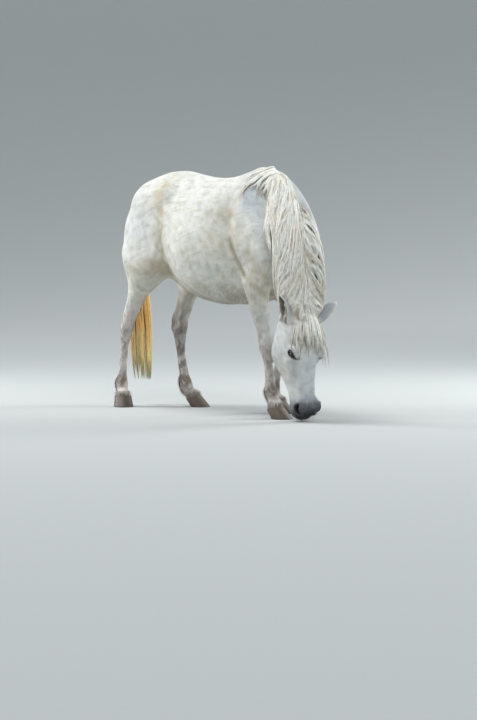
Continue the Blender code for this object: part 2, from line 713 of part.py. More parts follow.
def crest(share):
    """A place along the neck's crest and the direction to the neck's left there."""
    table = blend(NECK, 101)
    x, z = np.interp(share, table[:, 0], table[:, 1]), np.interp(share, table[:, 0], table[:, 2])
    here = turned(np.array([x, 0, z]))
    left = turned(np.array([x, 0.01, z])) - here
    return here, left / np.linalg.norm(left)


def draped(tree, share, side, length, forward, lift, width):
    """A lock's middle line: from the crest over one side of the neck and down it, resting on the flesh,
    then on past it in free air."""
    root, left = crest(share)
    away = left * side
    ahead = np.array([away[1], -away[0], 0]) * side
    places, outs, reach = [], [], 0.0
    for s in np.linspace(0, 1, 14):
        drop = length * s
        probe = root + ahead * forward * (1 - (1 - s) ** 2) - np.array([0, 0, 1]) * (drop + 0.004)
        hit, *_ = tree.ray_cast(Vector(probe + away * 0.5), Vector(-away), 0.5)
        here = (np.array(hit) - probe) @ away if hit else 0.0
        reach = max(here, reach - 0.012)
        tip = min(1, s * 5)
        places.append(probe + away * (reach + lift * tip) + np.array([0, 0, lift * (1 - tip)]))
        outs.append(away * (0.3 + s) + np.array([0, 0, 1 - tip]))
    return lock(places, outs, width, lift * 1.3)


# share of the crest, side, length, how far it drifts ahead, how far off the flesh, half width
MANE_RIGHT = [
    (0.09, -1, 0.13, -0.130, 0.014, 0.030),  # swept back over the shoulder
    (0.12, -1, 0.17, -0.100, 0.014, 0.030),
    (0.17, -1, 0.24, 0.090, 0.016, 0.030),
    (0.22, -1, 0.33, 0.100, 0.018, 0.034),
    (0.28, -1, 0.40, 0.100, 0.022, 0.038),
    (0.34, -1, 0.45, 0.095, 0.026, 0.042),
    (0.41, -1, 0.47, 0.085, 0.030, 0.046),
    (0.48, -1, 0.46, 0.075, 0.032, 0.048),
    (0.55, -1, 0.42, 0.065, 0.032, 0.048),
    (0.62, -1, 0.36, 0.055, 0.032, 0.048),
    (0.69, -1, 0.30, 0.045, 0.030, 0.046),
    (0.76, -1, 0.24, 0.035, 0.028, 0.044),
    (0.83, -1, 0.18, 0.025, 0.024, 0.040),
    (0.90, -1, 0.12, 0.015, 0.020, 0.036),
]
MANE_LEFT = [
    (0.40, 1, 0.16, 0.050, 0.016, 0.034),
    (0.47, 1, 0.24, 0.050, 0.022, 0.036),
    (0.54, 1, 0.30, 0.045, 0.028, 0.040),
    (0.61, 1, 0.33, 0.035, 0.032, 0.042),
    (0.68, 1, 0.30, 0.030, 0.032, 0.042),
    (0.75, 1, 0.25, 0.025, 0.028, 0.040),
    (0.83, 1, 0.18, 0.020, 0.022, 0.038),
    (0.90, 1, 0.12, 0.010, 0.018, 0.034),
]
CREST_ROLL = 0.08, 0.97, 0.020  # the roots' roll along the crest: from, to, half its thickness


def crest_roll():
    """The standing roots of the mane, one roll along the crest from the withers to the poll."""
    start, end, half = CREST_ROLL
    path = np.array([crest(share)[0] for share in np.linspace(start, end, 40)])
    path[:, 2] += 0.3 * half
    return lock(path, np.tile([0.3, 0, 1.0], (40, 1)), half, half)


def on_face(tree, share, aside, lift):
    """A place this far down the face and aside, lifted off the flesh, and the direction ahead."""
    poll, down, ahead, left = head_axes()
    start = poll + (down * share + left * aside) * HEAD_LENGTH + ahead * 0.4
    hit, *_ = tree.ray_cast(start, -ahead, 0.8)
    return np.array(hit if hit else start - ahead * 0.4) + np.array(ahead) * lift, np.array(ahead)


# how far aside a lock of the forelock starts and ends, how far down it ends, and its half width
FORELOCK = [
    (-0.03, -0.06, 0.40, 0.024),
    (0.00, 0.01, 0.46, 0.028),
    (0.03, 0.09, 0.47, 0.028),
    (0.05, 0.15, 0.42, 0.022),
]


def forelock_lock(tree, start, end, low, width):
    places, outs = [], []
    for s in np.linspace(0, 1, 12):
        lift = 0.006 + 0.006 * math.sin(math.pi * s)
        place, out = on_face(tree, -0.03 + (low + 0.03) * s, start + (end - start) * s, lift)
        places.append(place)
        outs.append(out)
    return lock(places, outs, width, 0.012)


# the tail hair's middle line: ahead, aside, height, then half its width and half its depth
TAIL = [
    (-0.660, 0.000, 1.190, 0.030, 0.024),
    (-0.712, 0.004, 1.165, 0.034, 0.028),
    (-0.748, 0.010, 1.080, 0.044, 0.034),
    (-0.768, 0.016, 0.940, 0.058, 0.042),
    (-0.776, 0.022, 0.780, 0.068, 0.050),
    (-0.772, 0.028, 0.600, 0.072, 0.054),
    (-0.764, 0.034, 0.420, 0.070, 0.053),
    (-0.758, 0.037, 0.270, 0.067, 0.046),
    (-0.756, 0.037, 0.215, 0.058, 0.032),
    (-0.756, 0.037, 0.190, 0.034, 0.014),
]


def tail_rings():
    rows = blend(np.column_stack([np.arange(len(TAIL)), TAIL]), 36)
    angle = np.linspace(0, 2 * math.pi, 20, endpoint=False)
    path = rows[:, 1:4]
    along = np.gradient(path, axis=0)
    along /= np.linalg.norm(along, axis=1)[:, None]
    back = np.cross(along, [0, 1, 0])
    ridges = 1 + 0.10 * np.cos(5 * angle + 0.6)[None, :] * np.clip(np.linspace(-0.2, 1.2, 36), 0, 1)[:, None]
    wide = (rows[:, 4:5] * np.cos(angle) * ridges)[..., None] * np.array([0, 1, 0])
    deep = (rows[:, 5:6] * np.sin(angle) * ridges)[..., None] * back[:, None]
    return path[:, None] + wide + deep


def hair(name, forms, triangles, tools, look):
    """Locks melted together, with everything they lie on or against cut away from them."""
    points, faces = melt(forms, FINE)
    made = mesh_object(name, points, faces, pony, look)
    thin_out(made, triangles)
    for tool in tools:
        cut(made, tool, "DIFFERENCE")
    return keep_largest(made)


def hull(obj, amount):
    """A cutter that fills an object's hollow side and stands off from it by the amount."""
    bm = bmesh.new()
    for vert in obj.data.vertices:
        bm.verts.new(vert.co)
    found = bmesh.ops.convex_hull(bm, input=bm.verts)
    bmesh.ops.delete(bm, geom=found["geom_interior"], context="VERTS")
    mesh = bpy.data.meshes.new(obj.name + "_hull")
    bm.to_mesh(mesh)
    bm.free()
    made = bpy.data.objects.new(obj.name + "_hull", mesh)
    cutters.objects.link(made)
    grown = swollen(made, amount, cutters)
    bpy.data.objects.remove(made)
    return grown


# ---------------------------------------------------------------- building it all

pony = collection("grazing_pony")
cutters = collection("cutters")
SIDES = {-1: "right", 1: "left"}
NECK_CUT = Vector((0.470, 0, 1.450)), Vector((0.587, 0, 0.735))  # from above the crest to below the throat
CANNON_CUT, FETLOCK_CUT = {"fore": 0.335, "hind": 0.415}, 0.185   # heights
UPPER_LIMB = {"fore": "forearm", "hind": "gaskin"}
# corners of the room that holds each limb below its root
LIMB_ROOM = {
    "fore_right": ((0.27, -0.40, -0.1), (0.70, -0.09, 0.79)),
    "fore_left": ((0.19, 0.09, -0.1), (0.70, 0.40, 0.79)),
    "hind_right": ((-0.95, -0.40, -0.1), (-0.30, -0.03, 0.79)),
    "hind_left": ((-0.95, 0.03, -0.1), (-0.28, 0.40, 0.79)),
}
looks = {
    "coat": material("coat", (214, 211, 203), 0.8),
    "leg": material("leg", (176, 168, 160), 0.8),
    "hoof": material("hoof", (128, 98, 76), 0.55),
    "eye": material("eye", (22, 18, 16), 0.08),
    "ear": material("ear", (150, 155, 160), 0.8),
    "mane": material("mane", (222, 217, 203), 0.7),
    "tail": material("tail", (206, 158, 96), 0.7),
}

points, faces = melt(flesh_forms(), FINE)
trunk = mesh_object("trunk", points, faces, pony, looks["coat"])
thin_out(trunk, 3500)
skin_tool = swollen(trunk, 0.0006, cutters)
surface = BVHTree.FromPolygons([v.co.copy() for v in trunk.data.vertices],
                               [tuple(p.vertices) for p in trunk.data.polygons])

# ears and long hair lie on the flesh and against each other
ears = [cut(ear("ear_" + word, side), skin_tool, "DIFFERENCE") for side, word in SIDES.items()]
tools = [skin_tool, *(hull(keep_largest(made), 0.002) for made in ears)]
forms = [(*forelock_lock(surface, *row), 0.012) for row in FORELOCK]
forelock = hair("forelock", forms, 220, tools, looks["mane"])
tools.append(swollen(forelock, 0.0008, cutters))
forms = [(*crest_roll(), 0.02)] + [(*draped(surface, *row), 0.02) for row in MANE_RIGHT]
mane = hair("mane_right", forms, 560, tools, looks["mane"])
tools.append(swollen(mane, 0.0008, cutters))
forms = [(*draped(surface, *row), 0.02) for row in MANE_LEFT]
hair("mane_left", forms, 280, tools, looks["mane"])
hair("tail", [(*loft(tail_rings()), 0.01)], 440, [skin_tool], looks["tail"])

# neck and head, parted from the trunk by flat cuts square to the neck
middle = (NECK_CUT[0] + NECK_CUT[1]) / 2
fall = math.atan2(NECK_CUT[1].x - NECK_CUT[0].x, NECK_CUT[0].z - NECK_CUT[1].z)
upright = Matrix.Rotation(-math.pi / 2 - fall, 3, "Y")  # the neck lies under this slab
neck = slice_off(trunk, "neck", middle, ((NECK_CUT[0] - NECK_CUT[1]).length, 0.64), upright, looks["coat"])
poll, down, ahead, left = head_axes()
head_turn = Matrix((ahead, left, -down)).transposed()
head = slice_off(neck, "head", at_head(-0.035, -0.07, 0), (0.44, 0.36), head_turn, looks["coat"])
for side, word in SIDES.items():
    cut(head, swollen(eye("eye_" + word, side), GAP, cutters), "DIFFERENCE")

# each limb, parted from the trunk at its root, above its hoof, and then at knee or hock and fetlock
for name, (profile, joints, toe) in LIMBS.items():
    coronet = joints[-1]
    hoof("hoof_" + name, coronet, toe)
    limb = part_off(trunk, UPPER_LIMB[name[:4]] + name[4:], *LIMB_ROOM[name], looks["leg"])
    centre, turn = coronet_plane(coronet, toe)
    below = block(centre - turn @ Vector((0, 0, 0.1 - GAP)), (0.2, 0.2, 0.2), turn, cutters)
    keep_largest(cut(limb, below, "DIFFERENCE"))
    for word, height in (("cannon_", CANNON_CUT[name[:4]]), ("pastern_", FETLOCK_CUT)):
        place = np.interp(-height, [-joint[2] for joint in joints], np.arange(len(joints)))
        centre = Vector([np.interp(place, np.arange(len(joints)), along) for along in np.transpose(joints)])
        limb = slice_off(limb, word + name, centre, (0.2, 0.16), Matrix.Identity(3), looks["leg"])

# the model stands with the middle of its outline over the origin
solids = list(pony.objects)
corners = np.array([obj.matrix_world @ v.co for obj in solids for v in obj.data.vertices])
shift = Matrix.Translation((*(-(corners.min(0) + corners.max(0))[:2] / 2), 0))
for obj in [*solids, *cutters.objects]:
    obj.data.transform(shift)
for obj in solids:
    obj.data.shade_smooth()
    obj.data.set_sharp_from_angle(angle=math.radians(40))
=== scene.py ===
"""A grazing grey pony, life size: skin, coat, long hair, eyes and hooves over its solids.

The solids give every form and size.  The skin is one surface drawn just inside the flesh solids,
the short coat lies on it in small tufts, and the long hair hangs over the hair solids' outside.
Lengths are metres; X is forward, Y the pony's left, Z up.
"""

import math

import bmesh
import bpy
import numpy as np
import openvdb
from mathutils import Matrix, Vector, kdtree


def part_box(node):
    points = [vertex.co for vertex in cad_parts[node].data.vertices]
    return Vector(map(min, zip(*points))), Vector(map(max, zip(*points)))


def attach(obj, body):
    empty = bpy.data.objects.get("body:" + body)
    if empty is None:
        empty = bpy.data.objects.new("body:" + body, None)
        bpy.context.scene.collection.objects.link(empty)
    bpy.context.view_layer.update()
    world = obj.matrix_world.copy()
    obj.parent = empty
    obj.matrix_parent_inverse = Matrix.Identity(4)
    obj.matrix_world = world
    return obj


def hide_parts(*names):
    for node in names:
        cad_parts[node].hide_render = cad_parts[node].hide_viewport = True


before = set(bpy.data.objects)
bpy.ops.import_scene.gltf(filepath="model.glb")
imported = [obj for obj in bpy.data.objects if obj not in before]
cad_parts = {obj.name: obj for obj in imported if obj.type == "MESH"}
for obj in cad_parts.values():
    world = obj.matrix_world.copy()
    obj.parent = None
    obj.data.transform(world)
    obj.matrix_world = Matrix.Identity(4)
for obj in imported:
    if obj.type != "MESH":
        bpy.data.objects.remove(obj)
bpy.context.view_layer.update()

# ================================================================ skin
# The hide: one closed surface for trunk, neck, head and limbs, lying inside the flesh solids by the
# depth of the summer coat.  Lids, nostrils, lips and the lines of muscle and bone are drawn in it.

COAT_DEPTH = 0.0030
GAP_FILL = 0.006          # wide enough to close the cuts between the solids
FLESH = ("trunk", "neck", "head", "forearm", "gaskin", "cannon", "pastern")
flesh_nodes = sorted(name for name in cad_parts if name.split("_")[0] in FLESH)


def solid(names):
    """The points and triangles of some solids in one pair of arrays."""
    points, faces, count = [], [], 0
    for name in names:
        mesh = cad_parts[name].data
        mesh.calc_loop_triangles()
        place = np.empty(len(mesh.vertices) * 3, np.float32)
        mesh.vertices.foreach_get("co", place)
        corner = np.empty(len(mesh.loop_triangles) * 3, np.int32)
        mesh.loop_triangles.foreach_get("vertices", corner)
        points.append(place.reshape(-1, 3))
        faces.append(corner.reshape(-1, 3) + count)
        count += len(mesh.vertices)
    return np.concatenate(points), np.concatenate(faces)


def blurred(values, times):
    """Each pass takes the 1, 4, 6, 4, 1 mean along every axis, which rounds off a facet's edges."""
    for _ in range(times):
        for axis in range(3):
            one = np.roll(values, 1, axis) + np.roll(values, -1, axis)
            two = np.roll(values, 2, axis) + np.roll(values, -2, axis)
            values = (6 * values + 4 * one + two) / 16
    return values


def level_set(points, faces, spacing, cells):
    """Distances to a closed form of triangles, for some cells on both sides of its surface."""
    return openvdb.FloatGrid.createLevelSetFromPolygons(
        points.astype(np.float32), triangles=faces.astype(np.uint32),
        transform=openvdb.createLinearTransform(voxelSize=spacing), halfWidth=cells)


def surface(values, corner, spacing, level):
    """The points and squares of the surface on which a grid of distances reads the level."""
    grid = openvdb.FloatGrid(1.0)
    grid.transform = openvdb.createLinearTransform(voxelSize=spacing)
    grid.copyFromArray(values.astype(np.float32), ijk=tuple(int(v) for v in corner))
    return grid.convertToQuads(level)


class Field:
    """Signed distance to a closed form, negative inside, kept on a grid and read by linear blends."""

    def __init__(self, points, faces, spacing, band, blur):
        """Fills the grid for a band on both sides of the surface, then rounds it by passes of blur."""
        grid = level_set(points, faces, spacing, band / spacing)
        low, high = grid.evalActiveVoxelBoundingBox()
        self.corner, self.spacing = np.array(low) - 3, spacing
        values = np.empty(np.array(high) + 4 - self.corner, np.float32)
        grid.copyToArray(values, ijk=tuple(int(v) for v in self.corner))
        self.values = blurred(values, blur)

    def at(self, places):
        """The distance at each place: eight grid values weighted by how near each is."""
        q = np.asarray(places, float) / self.spacing - self.corner
        q = np.clip(q, 0, np.array(self.values.shape) - 1.001)
        i = q.astype(int)
        f = q - i
        total = 0.0
        for dx in (0, 1):
            for dy in (0, 1):
                for dz in (0, 1):
                    weight = (np.abs(1 - dx - f[..., 0]) * np.abs(1 - dy - f[..., 1])
                              * np.abs(1 - dz - f[..., 2]))
                    total = total + weight * self.values[i[..., 0] + dx, i[..., 1] + dy, i[..., 2] + dz]
        return total


def unit(ways):
    """Each direction over its own length."""
    return ways / np.maximum(np.linalg.norm(ways, axis=-1, keepdims=True), 1e-12)


def bell(value, middle, spread):
    """1 at the middle, falling off with the square of distance over the spread."""
    return np.exp(-(((value - middle) / spread) ** 2))


def outward(reading, places, step=0.004):
    """The unit direction in which a distance grows fastest, from differences along each axis."""
    return unit(np.stack([reading(places + d) - reading(places - d) for d in np.eye(3) * step], -1))


def drawn_to(reading, places, level, rounds=3):
    """Moves places along the slope of a distance until it reads the level."""
    for _ in range(rounds):
        places = places - (reading(places) - level)[..., None] * outward(reading, places)
    return places


def smooth_step(low, high, value):
    """0 at low, 1 at high and beyond, by three times the square less twice the cube between."""
    t = np.clip((value - low) / (high - low), 0, 1)
    return t * t * (3 - 2 * t)


def box_middle(name):
    """The middle of a node's box."""
    return np.mean(np.array(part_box(name)), axis=0)


# the head's own directions, from the eyes' places: down the face, ahead of it and to its left
HEAD_LENGTH, FACE_TILT, EYE_SHARE = 0.565, math.radians(6), 0.400
eye_middle = {side: box_middle("eye_" + side) for side in ("right", "left")}
head_left = unit(eye_middle["left"] - eye_middle["right"])
level_ahead = np.cross(head_left, [0, 0, 1])
head_down = level_ahead * math.sin(FACE_TILT) - np.array([0, 0, 1]) * math.cos(FACE_TILT)
head_ahead = np.cross(head_left, head_down)
poll = (eye_middle["left"] + eye_middle["right"]) / 2 - head_down * EYE_SHARE * HEAD_LENGTH
if head_ahead @ level_ahead < 0:
    head_ahead = -head_ahead


def in_head(places):
    """Places as shares of the head's length: down the face, ahead and to the left."""
    away = (np.asarray(places) - poll) / HEAD_LENGTH
    return np.stack([away @ head_down, away @ head_ahead, away @ head_left], -1)


def folded(places):
    """Places on the head with both sides laid on the left one."""
    q = in_head(places)
    return np.stack([q[..., 0], q[..., 1], np.abs(q[..., 2])], -1)


def from_head(share, front, left):
    """The place at some shares of the head's length down the face, ahead and to the left."""
    return poll + HEAD_LENGTH * (share * head_down + front * head_ahead + left * head_left)


# the fore legs stand within a hand's breadth of the lowered head, so their own lines tell them apart
FORE_LINES = [(box_middle(f"{upper}_fore_{side}"), box_middle(f"{lower}_fore_{side}"))
              for side in ("right", "left")
              for upper, lower in (("cannon", "pastern"), ("pastern", "hoof"))]


def is_head(places):
    """1 on the head, 0 off it, with a soft edge at the throat."""
    q = in_head(places)
    near = smooth_step(0.50, 0.40, np.hypot(q[..., 1] + 0.15, q[..., 2]))
    for start, end in FORE_LINES:
        line = end - start
        t = np.clip((places - start) @ line / (line @ line), -0.5, 1)
        away = np.linalg.norm(places - start - t[..., None] * line, axis=-1)
        near = near * smooth_step(0.050, 0.072, away)
    return near * smooth_step(-0.16, -0.04, q[..., 0])


def is_limb(places):
    """1 on the legs below the elbow and stifle, 0 above, and 0 on the head."""
    return smooth_step(0.64, 0.54, places[..., 2]) * (1 - is_head(places))


# the solids' outside, drawn a little way out so that the cuts close, is the form both fields hold
points, faces = solid(flesh_nodes)
points, quads = level_set(points, faces, 0.004, 4).convertToQuads(GAP_FILL)
faces = np.concatenate([quads[:, [0, 1, 2]], quads[:, [0, 2, 3]]])
broad_form = Field(points, faces, 0.008, 0.048, 2)
fine_form = Field(points, faces, 0.004, 0.024, 2)


def flesh_at(places):
    """Distance to the flesh: broad forms on the body, sharper ones on the head and limbs."""
    places = np.asarray(places, float)
    sharp = np.maximum(is_head(places), is_limb(places))
    return (1 - sharp) * broad_form.at(places) + sharp * fine_form.at(places) + GAP_FILL


def near_line(q, start, end, radius):
    """1 on the straight line between two places, falling off with the square of distance over radius."""
    start, line = np.array(start, float), np.array(end, float) - np.array(start, float)
    t = np.clip(((q - start) @ line) / (line @ line), 0, 1)
    away = q - start - t[..., None] * line
    return np.exp(-(away**2).sum(-1) / radius**2)


def near_path(q, path, radius):
    """The same beside a path, from the nearest of its stretches."""
    return np.max([near_line(q, a, b, radius) for a, b in zip(path[:-1], path[1:])], axis=0)


def near_spot(q, centre, radii):
    """1 at a place, falling off with the square of distance over the radius along each axis."""
    return np.exp(-(((q - np.array(centre)) / np.array(radii)) ** 2).sum(-1))


EYE_TURN = math.radians(46)       # how far the lids' long axis dips ahead of the face line
EYE_HALF_LONG, EYE_HALF_TALL = 0.0380, 0.0215


def lid_ring(q):
    """How far out from the eye's middle: 1 on the lids' edge, in the plane along the head's side."""
    a = (q[..., 0] - EYE_SHARE) * math.cos(EYE_TURN) + q[..., 1] * math.sin(EYE_TURN)
    b = q[..., 1] * math.cos(EYE_TURN) - (q[..., 0] - EYE_SHARE) * math.sin(EYE_TURN)
    tall = EYE_HALF_TALL * np.where(b > 0, 1.05, 0.9) * (1 - 0.25 * np.clip(a / EYE_HALF_LONG, -1, 1))
    ring = np.sqrt((a / EYE_HALF_LONG) ** 2 + (b / tall) ** 2)
    return np.where(q[..., 2] > 0.10, ring, 9.0), b


def nostril_ring(q):
    """How far out from the nostril's middle: 1 on its rim; the opening is a slanting comma."""
    a, b = q[..., 0] - 0.892, q[..., 1] + 0.030
    turn = math.radians(28)
    along, across = a * math.cos(turn) - b * math.sin(turn), b * math.cos(turn) + a * math.sin(turn)
    across = across - 6.0 * along**2
    ring = np.sqrt((along / 0.047) ** 2 + (across / 0.028) ** 2)
    return np.where(q[..., 2] > 0.045, ring, 9.0)


# lines that stand out from the head or sink in: how far in metres, the places that each runs through in
# shares of the head, its radius
MOUTH = [(0.992, -0.138, 0.0), (0.975, -0.150, 0.045), (0.930, -0.165, 0.080), (0.872, -0.178, 0.095)]
JAW_EDGE = [(0.20, -0.37, 0.10), (0.33, -0.43, 0.10), (0.45, -0.42, 0.10), (0.52, -0.38, 0.10)]
HEAD_RIDGES = [
    (0.0050, [(0.345, 0.030, 0.150), (0.420, 0.040, 0.145)], 0.022),       # brow bone
    (0.0050, [(0.462, -0.095, 0.168), (0.620, -0.120, 0.120)], 0.032),     # cheek bone
    (0.0028, [(0.430, 0.040, 0.085), (0.800, 0.008, 0.062)], 0.016),       # nose bone's edge
    (-0.0020, [(0.460, 0.052, 0.0), (0.780, 0.020, 0.0)], 0.040),          # middle of the nose
    (0.0060, JAW_EDGE, 0.030),
    (-0.0030, [(0.10, -0.30, 0.16), (0.16, -0.38, 0.14)], 0.030),          # throat, behind the jaw
    (-0.0060, MOUTH, 0.0075),
    (0.0030, [(0.985, -0.112, 0.0), (0.955, -0.118, 0.070)], 0.018),       # upper lip
    (0.0032, [(0.985, -0.170, 0.0), (0.945, -0.190, 0.055)], 0.016),       # lower lip
    (-0.0020, [(0.985, -0.060, 0.0), (0.900, 0.0, 0.0)], 0.012),           # groove between the nostrils
]
# the same for single places, each with its radii
HEAD_HOLLOWS = [
    (-0.0095, (0.285, 0.010, 0.140), (0.040, 0.034, 0.050)),               # above the eye
    (-0.0070, (0.560, -0.045, 0.125), (0.100, 0.038, 0.060)),              # below the cheek bone
    (-0.0030, (0.760, -0.070, 0.100), (0.060, 0.050, 0.050)),              # behind the nostril
    (0.0050, (0.915, -0.238, 0.0), (0.032, 0.030, 0.040)),                 # chin
]


def head_relief(q):
    """How far the head's surface stands out, in metres, from bone, lids, nostrils and lips."""
    height = sum(rise * near_path(q, path, radius) for rise, path, radius in HEAD_RIDGES)
    height = height + sum(rise * near_spot(q, place, radii) for rise, place, radii in HEAD_HOLLOWS)
    ring, above = lid_ring(q)
    lid = 0.0050 * bell(ring, 1.30, 0.26) * np.where(above > 0, 1.0, 0.75)
    fold = 0.0022 * bell(ring, 1.95, 0.16) * smooth_step(-0.004, 0.010, above)
    second = 0.0014 * bell(ring, 2.55, 0.16) * smooth_step(0.0, 0.014, above)
    height += lid - fold - second - 0.012 * smooth_step(1.06, 0.86, ring)
    hole = nostril_ring(q)
    height += 0.0062 * bell(hole, 1.35, 0.30) - 0.020 * smooth_step(1.10, 0.62, hole)
    wrinkle = np.sin(q[..., 0] * 330) * near_spot(q, (0.845, -0.130, 0.10), (0.030, 0.040, 0.06))
    return height + 0.0006 * wrinkle


# lines on the trunk as (x, z), the same on both sides: the haunch's front edge above the flank fold,
# the back of the upper arm, the front of the shoulder, and the groove between arm and forearm
HAUNCH = [(-0.335, 1.270), (-0.315, 1.150), (-0.312, 1.020), (-0.318, 0.930), (-0.312, 0.850),
          (-0.290, 0.785)]
ARM_BACK = [(0.225, 1.060), (0.245, 0.960), (0.285, 0.880), (0.320, 0.810), (0.345, 0.765)]
ARM_FRONT = [(0.385, 0.940), (0.400, 0.870), (0.430, 0.810), (0.460, 0.780)]
BLADE_SPINE = [(0.300, 1.240), (0.360, 1.130), (0.420, 1.010)]
BLADE_FRONT = [(0.430, 1.190), (0.470, 1.080), (0.500, 0.990)]


def body_relief(places):
    """How far the trunk's surface stands out or sinks in, in metres, along its muscles' edges."""
    x, y, z = places[..., 0], places[..., 1], places[..., 2]
    side = smooth_step(0.03, 0.12, np.abs(y))
    flat = np.stack([x, z], -1)
    height = -0.0095 * near_path(flat, HAUNCH, 0.048) * smooth_step(1.30, 1.18, z)
    height += 0.0060 * near_path(flat + [0.045, 0], HAUNCH[1:], 0.045)
    height -= 0.0110 * near_path(flat, ARM_BACK, 0.028)
    height += 0.0080 * near_path(flat - [0.045, 0], ARM_BACK[:3], 0.040)
    height -= 0.0080 * near_path(flat, ARM_FRONT, 0.028)
    height += 0.0040 * near_path(flat, BLADE_SPINE, 0.020) - 0.0045 * near_path(flat, BLADE_FRONT, 0.026)
    height -= 0.0040 * near_path(flat, [(0.30, 1.02), (0.37, 0.97), (0.43, 0.93)], 0.022)
    height += 0.0030 * near_spot(flat, (-0.300, 1.215), (0.060, 0.050))
    height -= 0.0040 * near_path(flat, [(-0.60, 1.10), (-0.63, 0.98), (-0.60, 0.86)], 0.022)
    ribs = np.sin((x + 0.25 * (z - 0.9)) * 2 * math.pi / 0.062)
    height += 0.0004 * ribs * near_spot(flat, (0.02, 0.93), (0.22, 0.20))
    return height * side * (1 - is_head(places))


limb_order = ("fore_left", "fore_right", "hind_left", "hind_right")
limb_line = {}
for limb in limb_order:
    bony = solid([("forearm_" if "fore" in limb else "gaskin_") + limb.split("_")[1],
                  "cannon_" + limb, "pastern_" + limb])[0]
    heights = np.linspace(0.05, 0.64, 40)
    nearness = bell(heights[:, None], bony[None, :, 2], 0.035) + 1e-9
    middle = nearness @ bony[:, :2] / nearness.sum(1, keepdims=True)
    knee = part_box("cannon_" + limb)[1][2]
    limb_line[limb] = (heights, middle, knee)


def limb_relief(places):
    """Bone and sinew, in metres, by height and by the angle round each limb's own line, 0 ahead and pi
    behind: the groove before the tendons, bony knee or hock, the fetlock's knobs and the pastern."""
    x, y, z = places[..., 0], places[..., 1], places[..., 2]
    total = np.zeros(x.shape)
    for limb, (heights, middle, knee) in limb_line.items():
        mine = ((x > 0) == ("fore" in limb)) & ((y > 0) == ("left" in limb))
        a = x - np.interp(z, heights, middle[:, 0])
        b = y - np.interp(z, heights, middle[:, 1])
        turn = np.abs(np.arctan2(b, a))
        cannon = smooth_step(0.175, 0.215, z) * smooth_step(knee - 0.015, knee - 0.060, z)
        height = -0.0042 * cannon * bell(turn, 1.90, 0.30)
        height += 0.0026 * cannon * smooth_step(2.35, 2.9, turn)
        height += 0.0016 * cannon * smooth_step(0.6, 0.1, turn)
        front, back = smooth_step(1.0, 0.3, turn), smooth_step(2.2, 2.9, turn)
        side = bell(turn, 1.5, 0.45)
        if "fore" in limb:
            height += 0.0050 * bell(z, knee, 0.026) * (front + 0.7 * side)
            height -= 0.0030 * bell(z, knee + 0.004, 0.006) * front
            height -= 0.0030 * bell(z, knee - 0.044, 0.012) * (front + side)
            height += 0.0060 * bell(z, knee + 0.018, 0.020) * back
            height -= 0.0040 * bell(z, knee + 0.075, 0.030) * side
        else:
            height += 0.0060 * bell(z, knee + 0.045, 0.026) * back
            height += 0.0050 * bell(z, knee - 0.015, 0.024) * (side + 0.6 * front)
            height -= 0.0065 * bell(z, knee + 0.065, 0.034) * bell(turn, 2.1, 0.35)
            height -= 0.0030 * bell(z, knee - 0.050, 0.014) * (side + front)
        height += 0.0055 * bell(z, 0.158, 0.020) * bell(turn, 2.35, 0.40)
        height += 0.0022 * bell(z, 0.165, 0.018) * front
        height -= 0.0035 * bell(z, 0.118, 0.016) * (0.4 + 0.6 * back)
        height += 0.0008 * bell(z, 0.088, 0.010)
        total = total + np.where(mine, height, 0)
    return total * is_limb(places)


# a mesh of 10 mm squares from the distance itself, divided again where the form is small
low, high = points.min(0) - 0.02, points.max(0) + 0.02
MESH_STEP = 0.0098
first = np.floor(low / MESH_STEP).astype(int)
count = np.ceil(high / MESH_STEP).astype(int) - first + 1
grid = np.stack(np.meshgrid(*[np.arange(n) + f for n, f in zip(count, first)], indexing="ij"), -1)
values = np.concatenate([flesh_at(part) for part in np.array_split(grid * MESH_STEP, 8)])
points, quads = surface(values, first, MESH_STEP, -COAT_DEPTH)

bm = bmesh.new()
mesh = bpy.data.meshes.new("skin")
mesh.from_pydata(points.tolist(), [], quads.tolist())
bm.from_mesh(mesh)


def divide(bm, wanted):
    """Halves every edge of the faces whose middles are wanted, given as a function of places."""
    bm.faces.ensure_lookup_table()
    middles = np.array([f.calc_center_median() for f in bm.faces])
    chosen = np.flatnonzero(wanted(middles))
    edges = {e for i in chosen for e in bm.faces[i].edges}
    bmesh.ops.subdivide_edges(bm, edges=list(edges), cuts=1, use_grid_fill=True)


divide(bm, lambda p: (is_head(p) > 0.5) | ((p[:, 2] < 0.50) & (is_head(p) < 0.1)))
divide(bm, lambda p: (is_head(p) > 0.5)
       & ((lid_ring(folded(p))[0] < 2.6) | (nostril_ring(folded(p)) < 2.2)))
bmesh.ops.triangulate(bm, faces=bm.faces)
bm.to_mesh(mesh)
bm.free()

skin_points = np.empty(len(mesh.vertices) * 3)
mesh.vertices.foreach_get("co", skin_points)
skin_points = drawn_to(flesh_at, skin_points.reshape(-1, 3), -COAT_DEPTH)
skin_out = outward(flesh_at, skin_points)
relief = body_relief(skin_points) + limb_relief(skin_points)
relief += head_relief(folded(skin_points)) * is_head(skin_points)
skin_points = skin_points + skin_out * relief[:, None]
mesh.vertices.foreach_set("co", skin_points.ravel())
mesh.update()


def screen(red, green, blue):
    """A screen colour, 0 to 255, as the linear one that a shader takes."""
    c = np.array([red, green, blue]) / 255
    return np.where(c <= 0.04045, c / 12.92, ((c + 0.055) / 1.055) ** 2.4)


def soft_noise(places, size, seed):
    """Smooth unrepeating values from -1 to 1: sines of three slanting directions bent by each other."""
    turn = unit(np.random.default_rng(seed).normal(size=(3, 3)))
    a, b, c = np.moveaxis((places / size) @ turn.T * 2 * math.pi, -1, 0)
    return np.sin(a + 1.7 * np.sin(b * 0.6)) * 0.5 + np.sin(b * 1.3 + 1.9 * np.sin(c * 0.7 + 1)) * 0.5


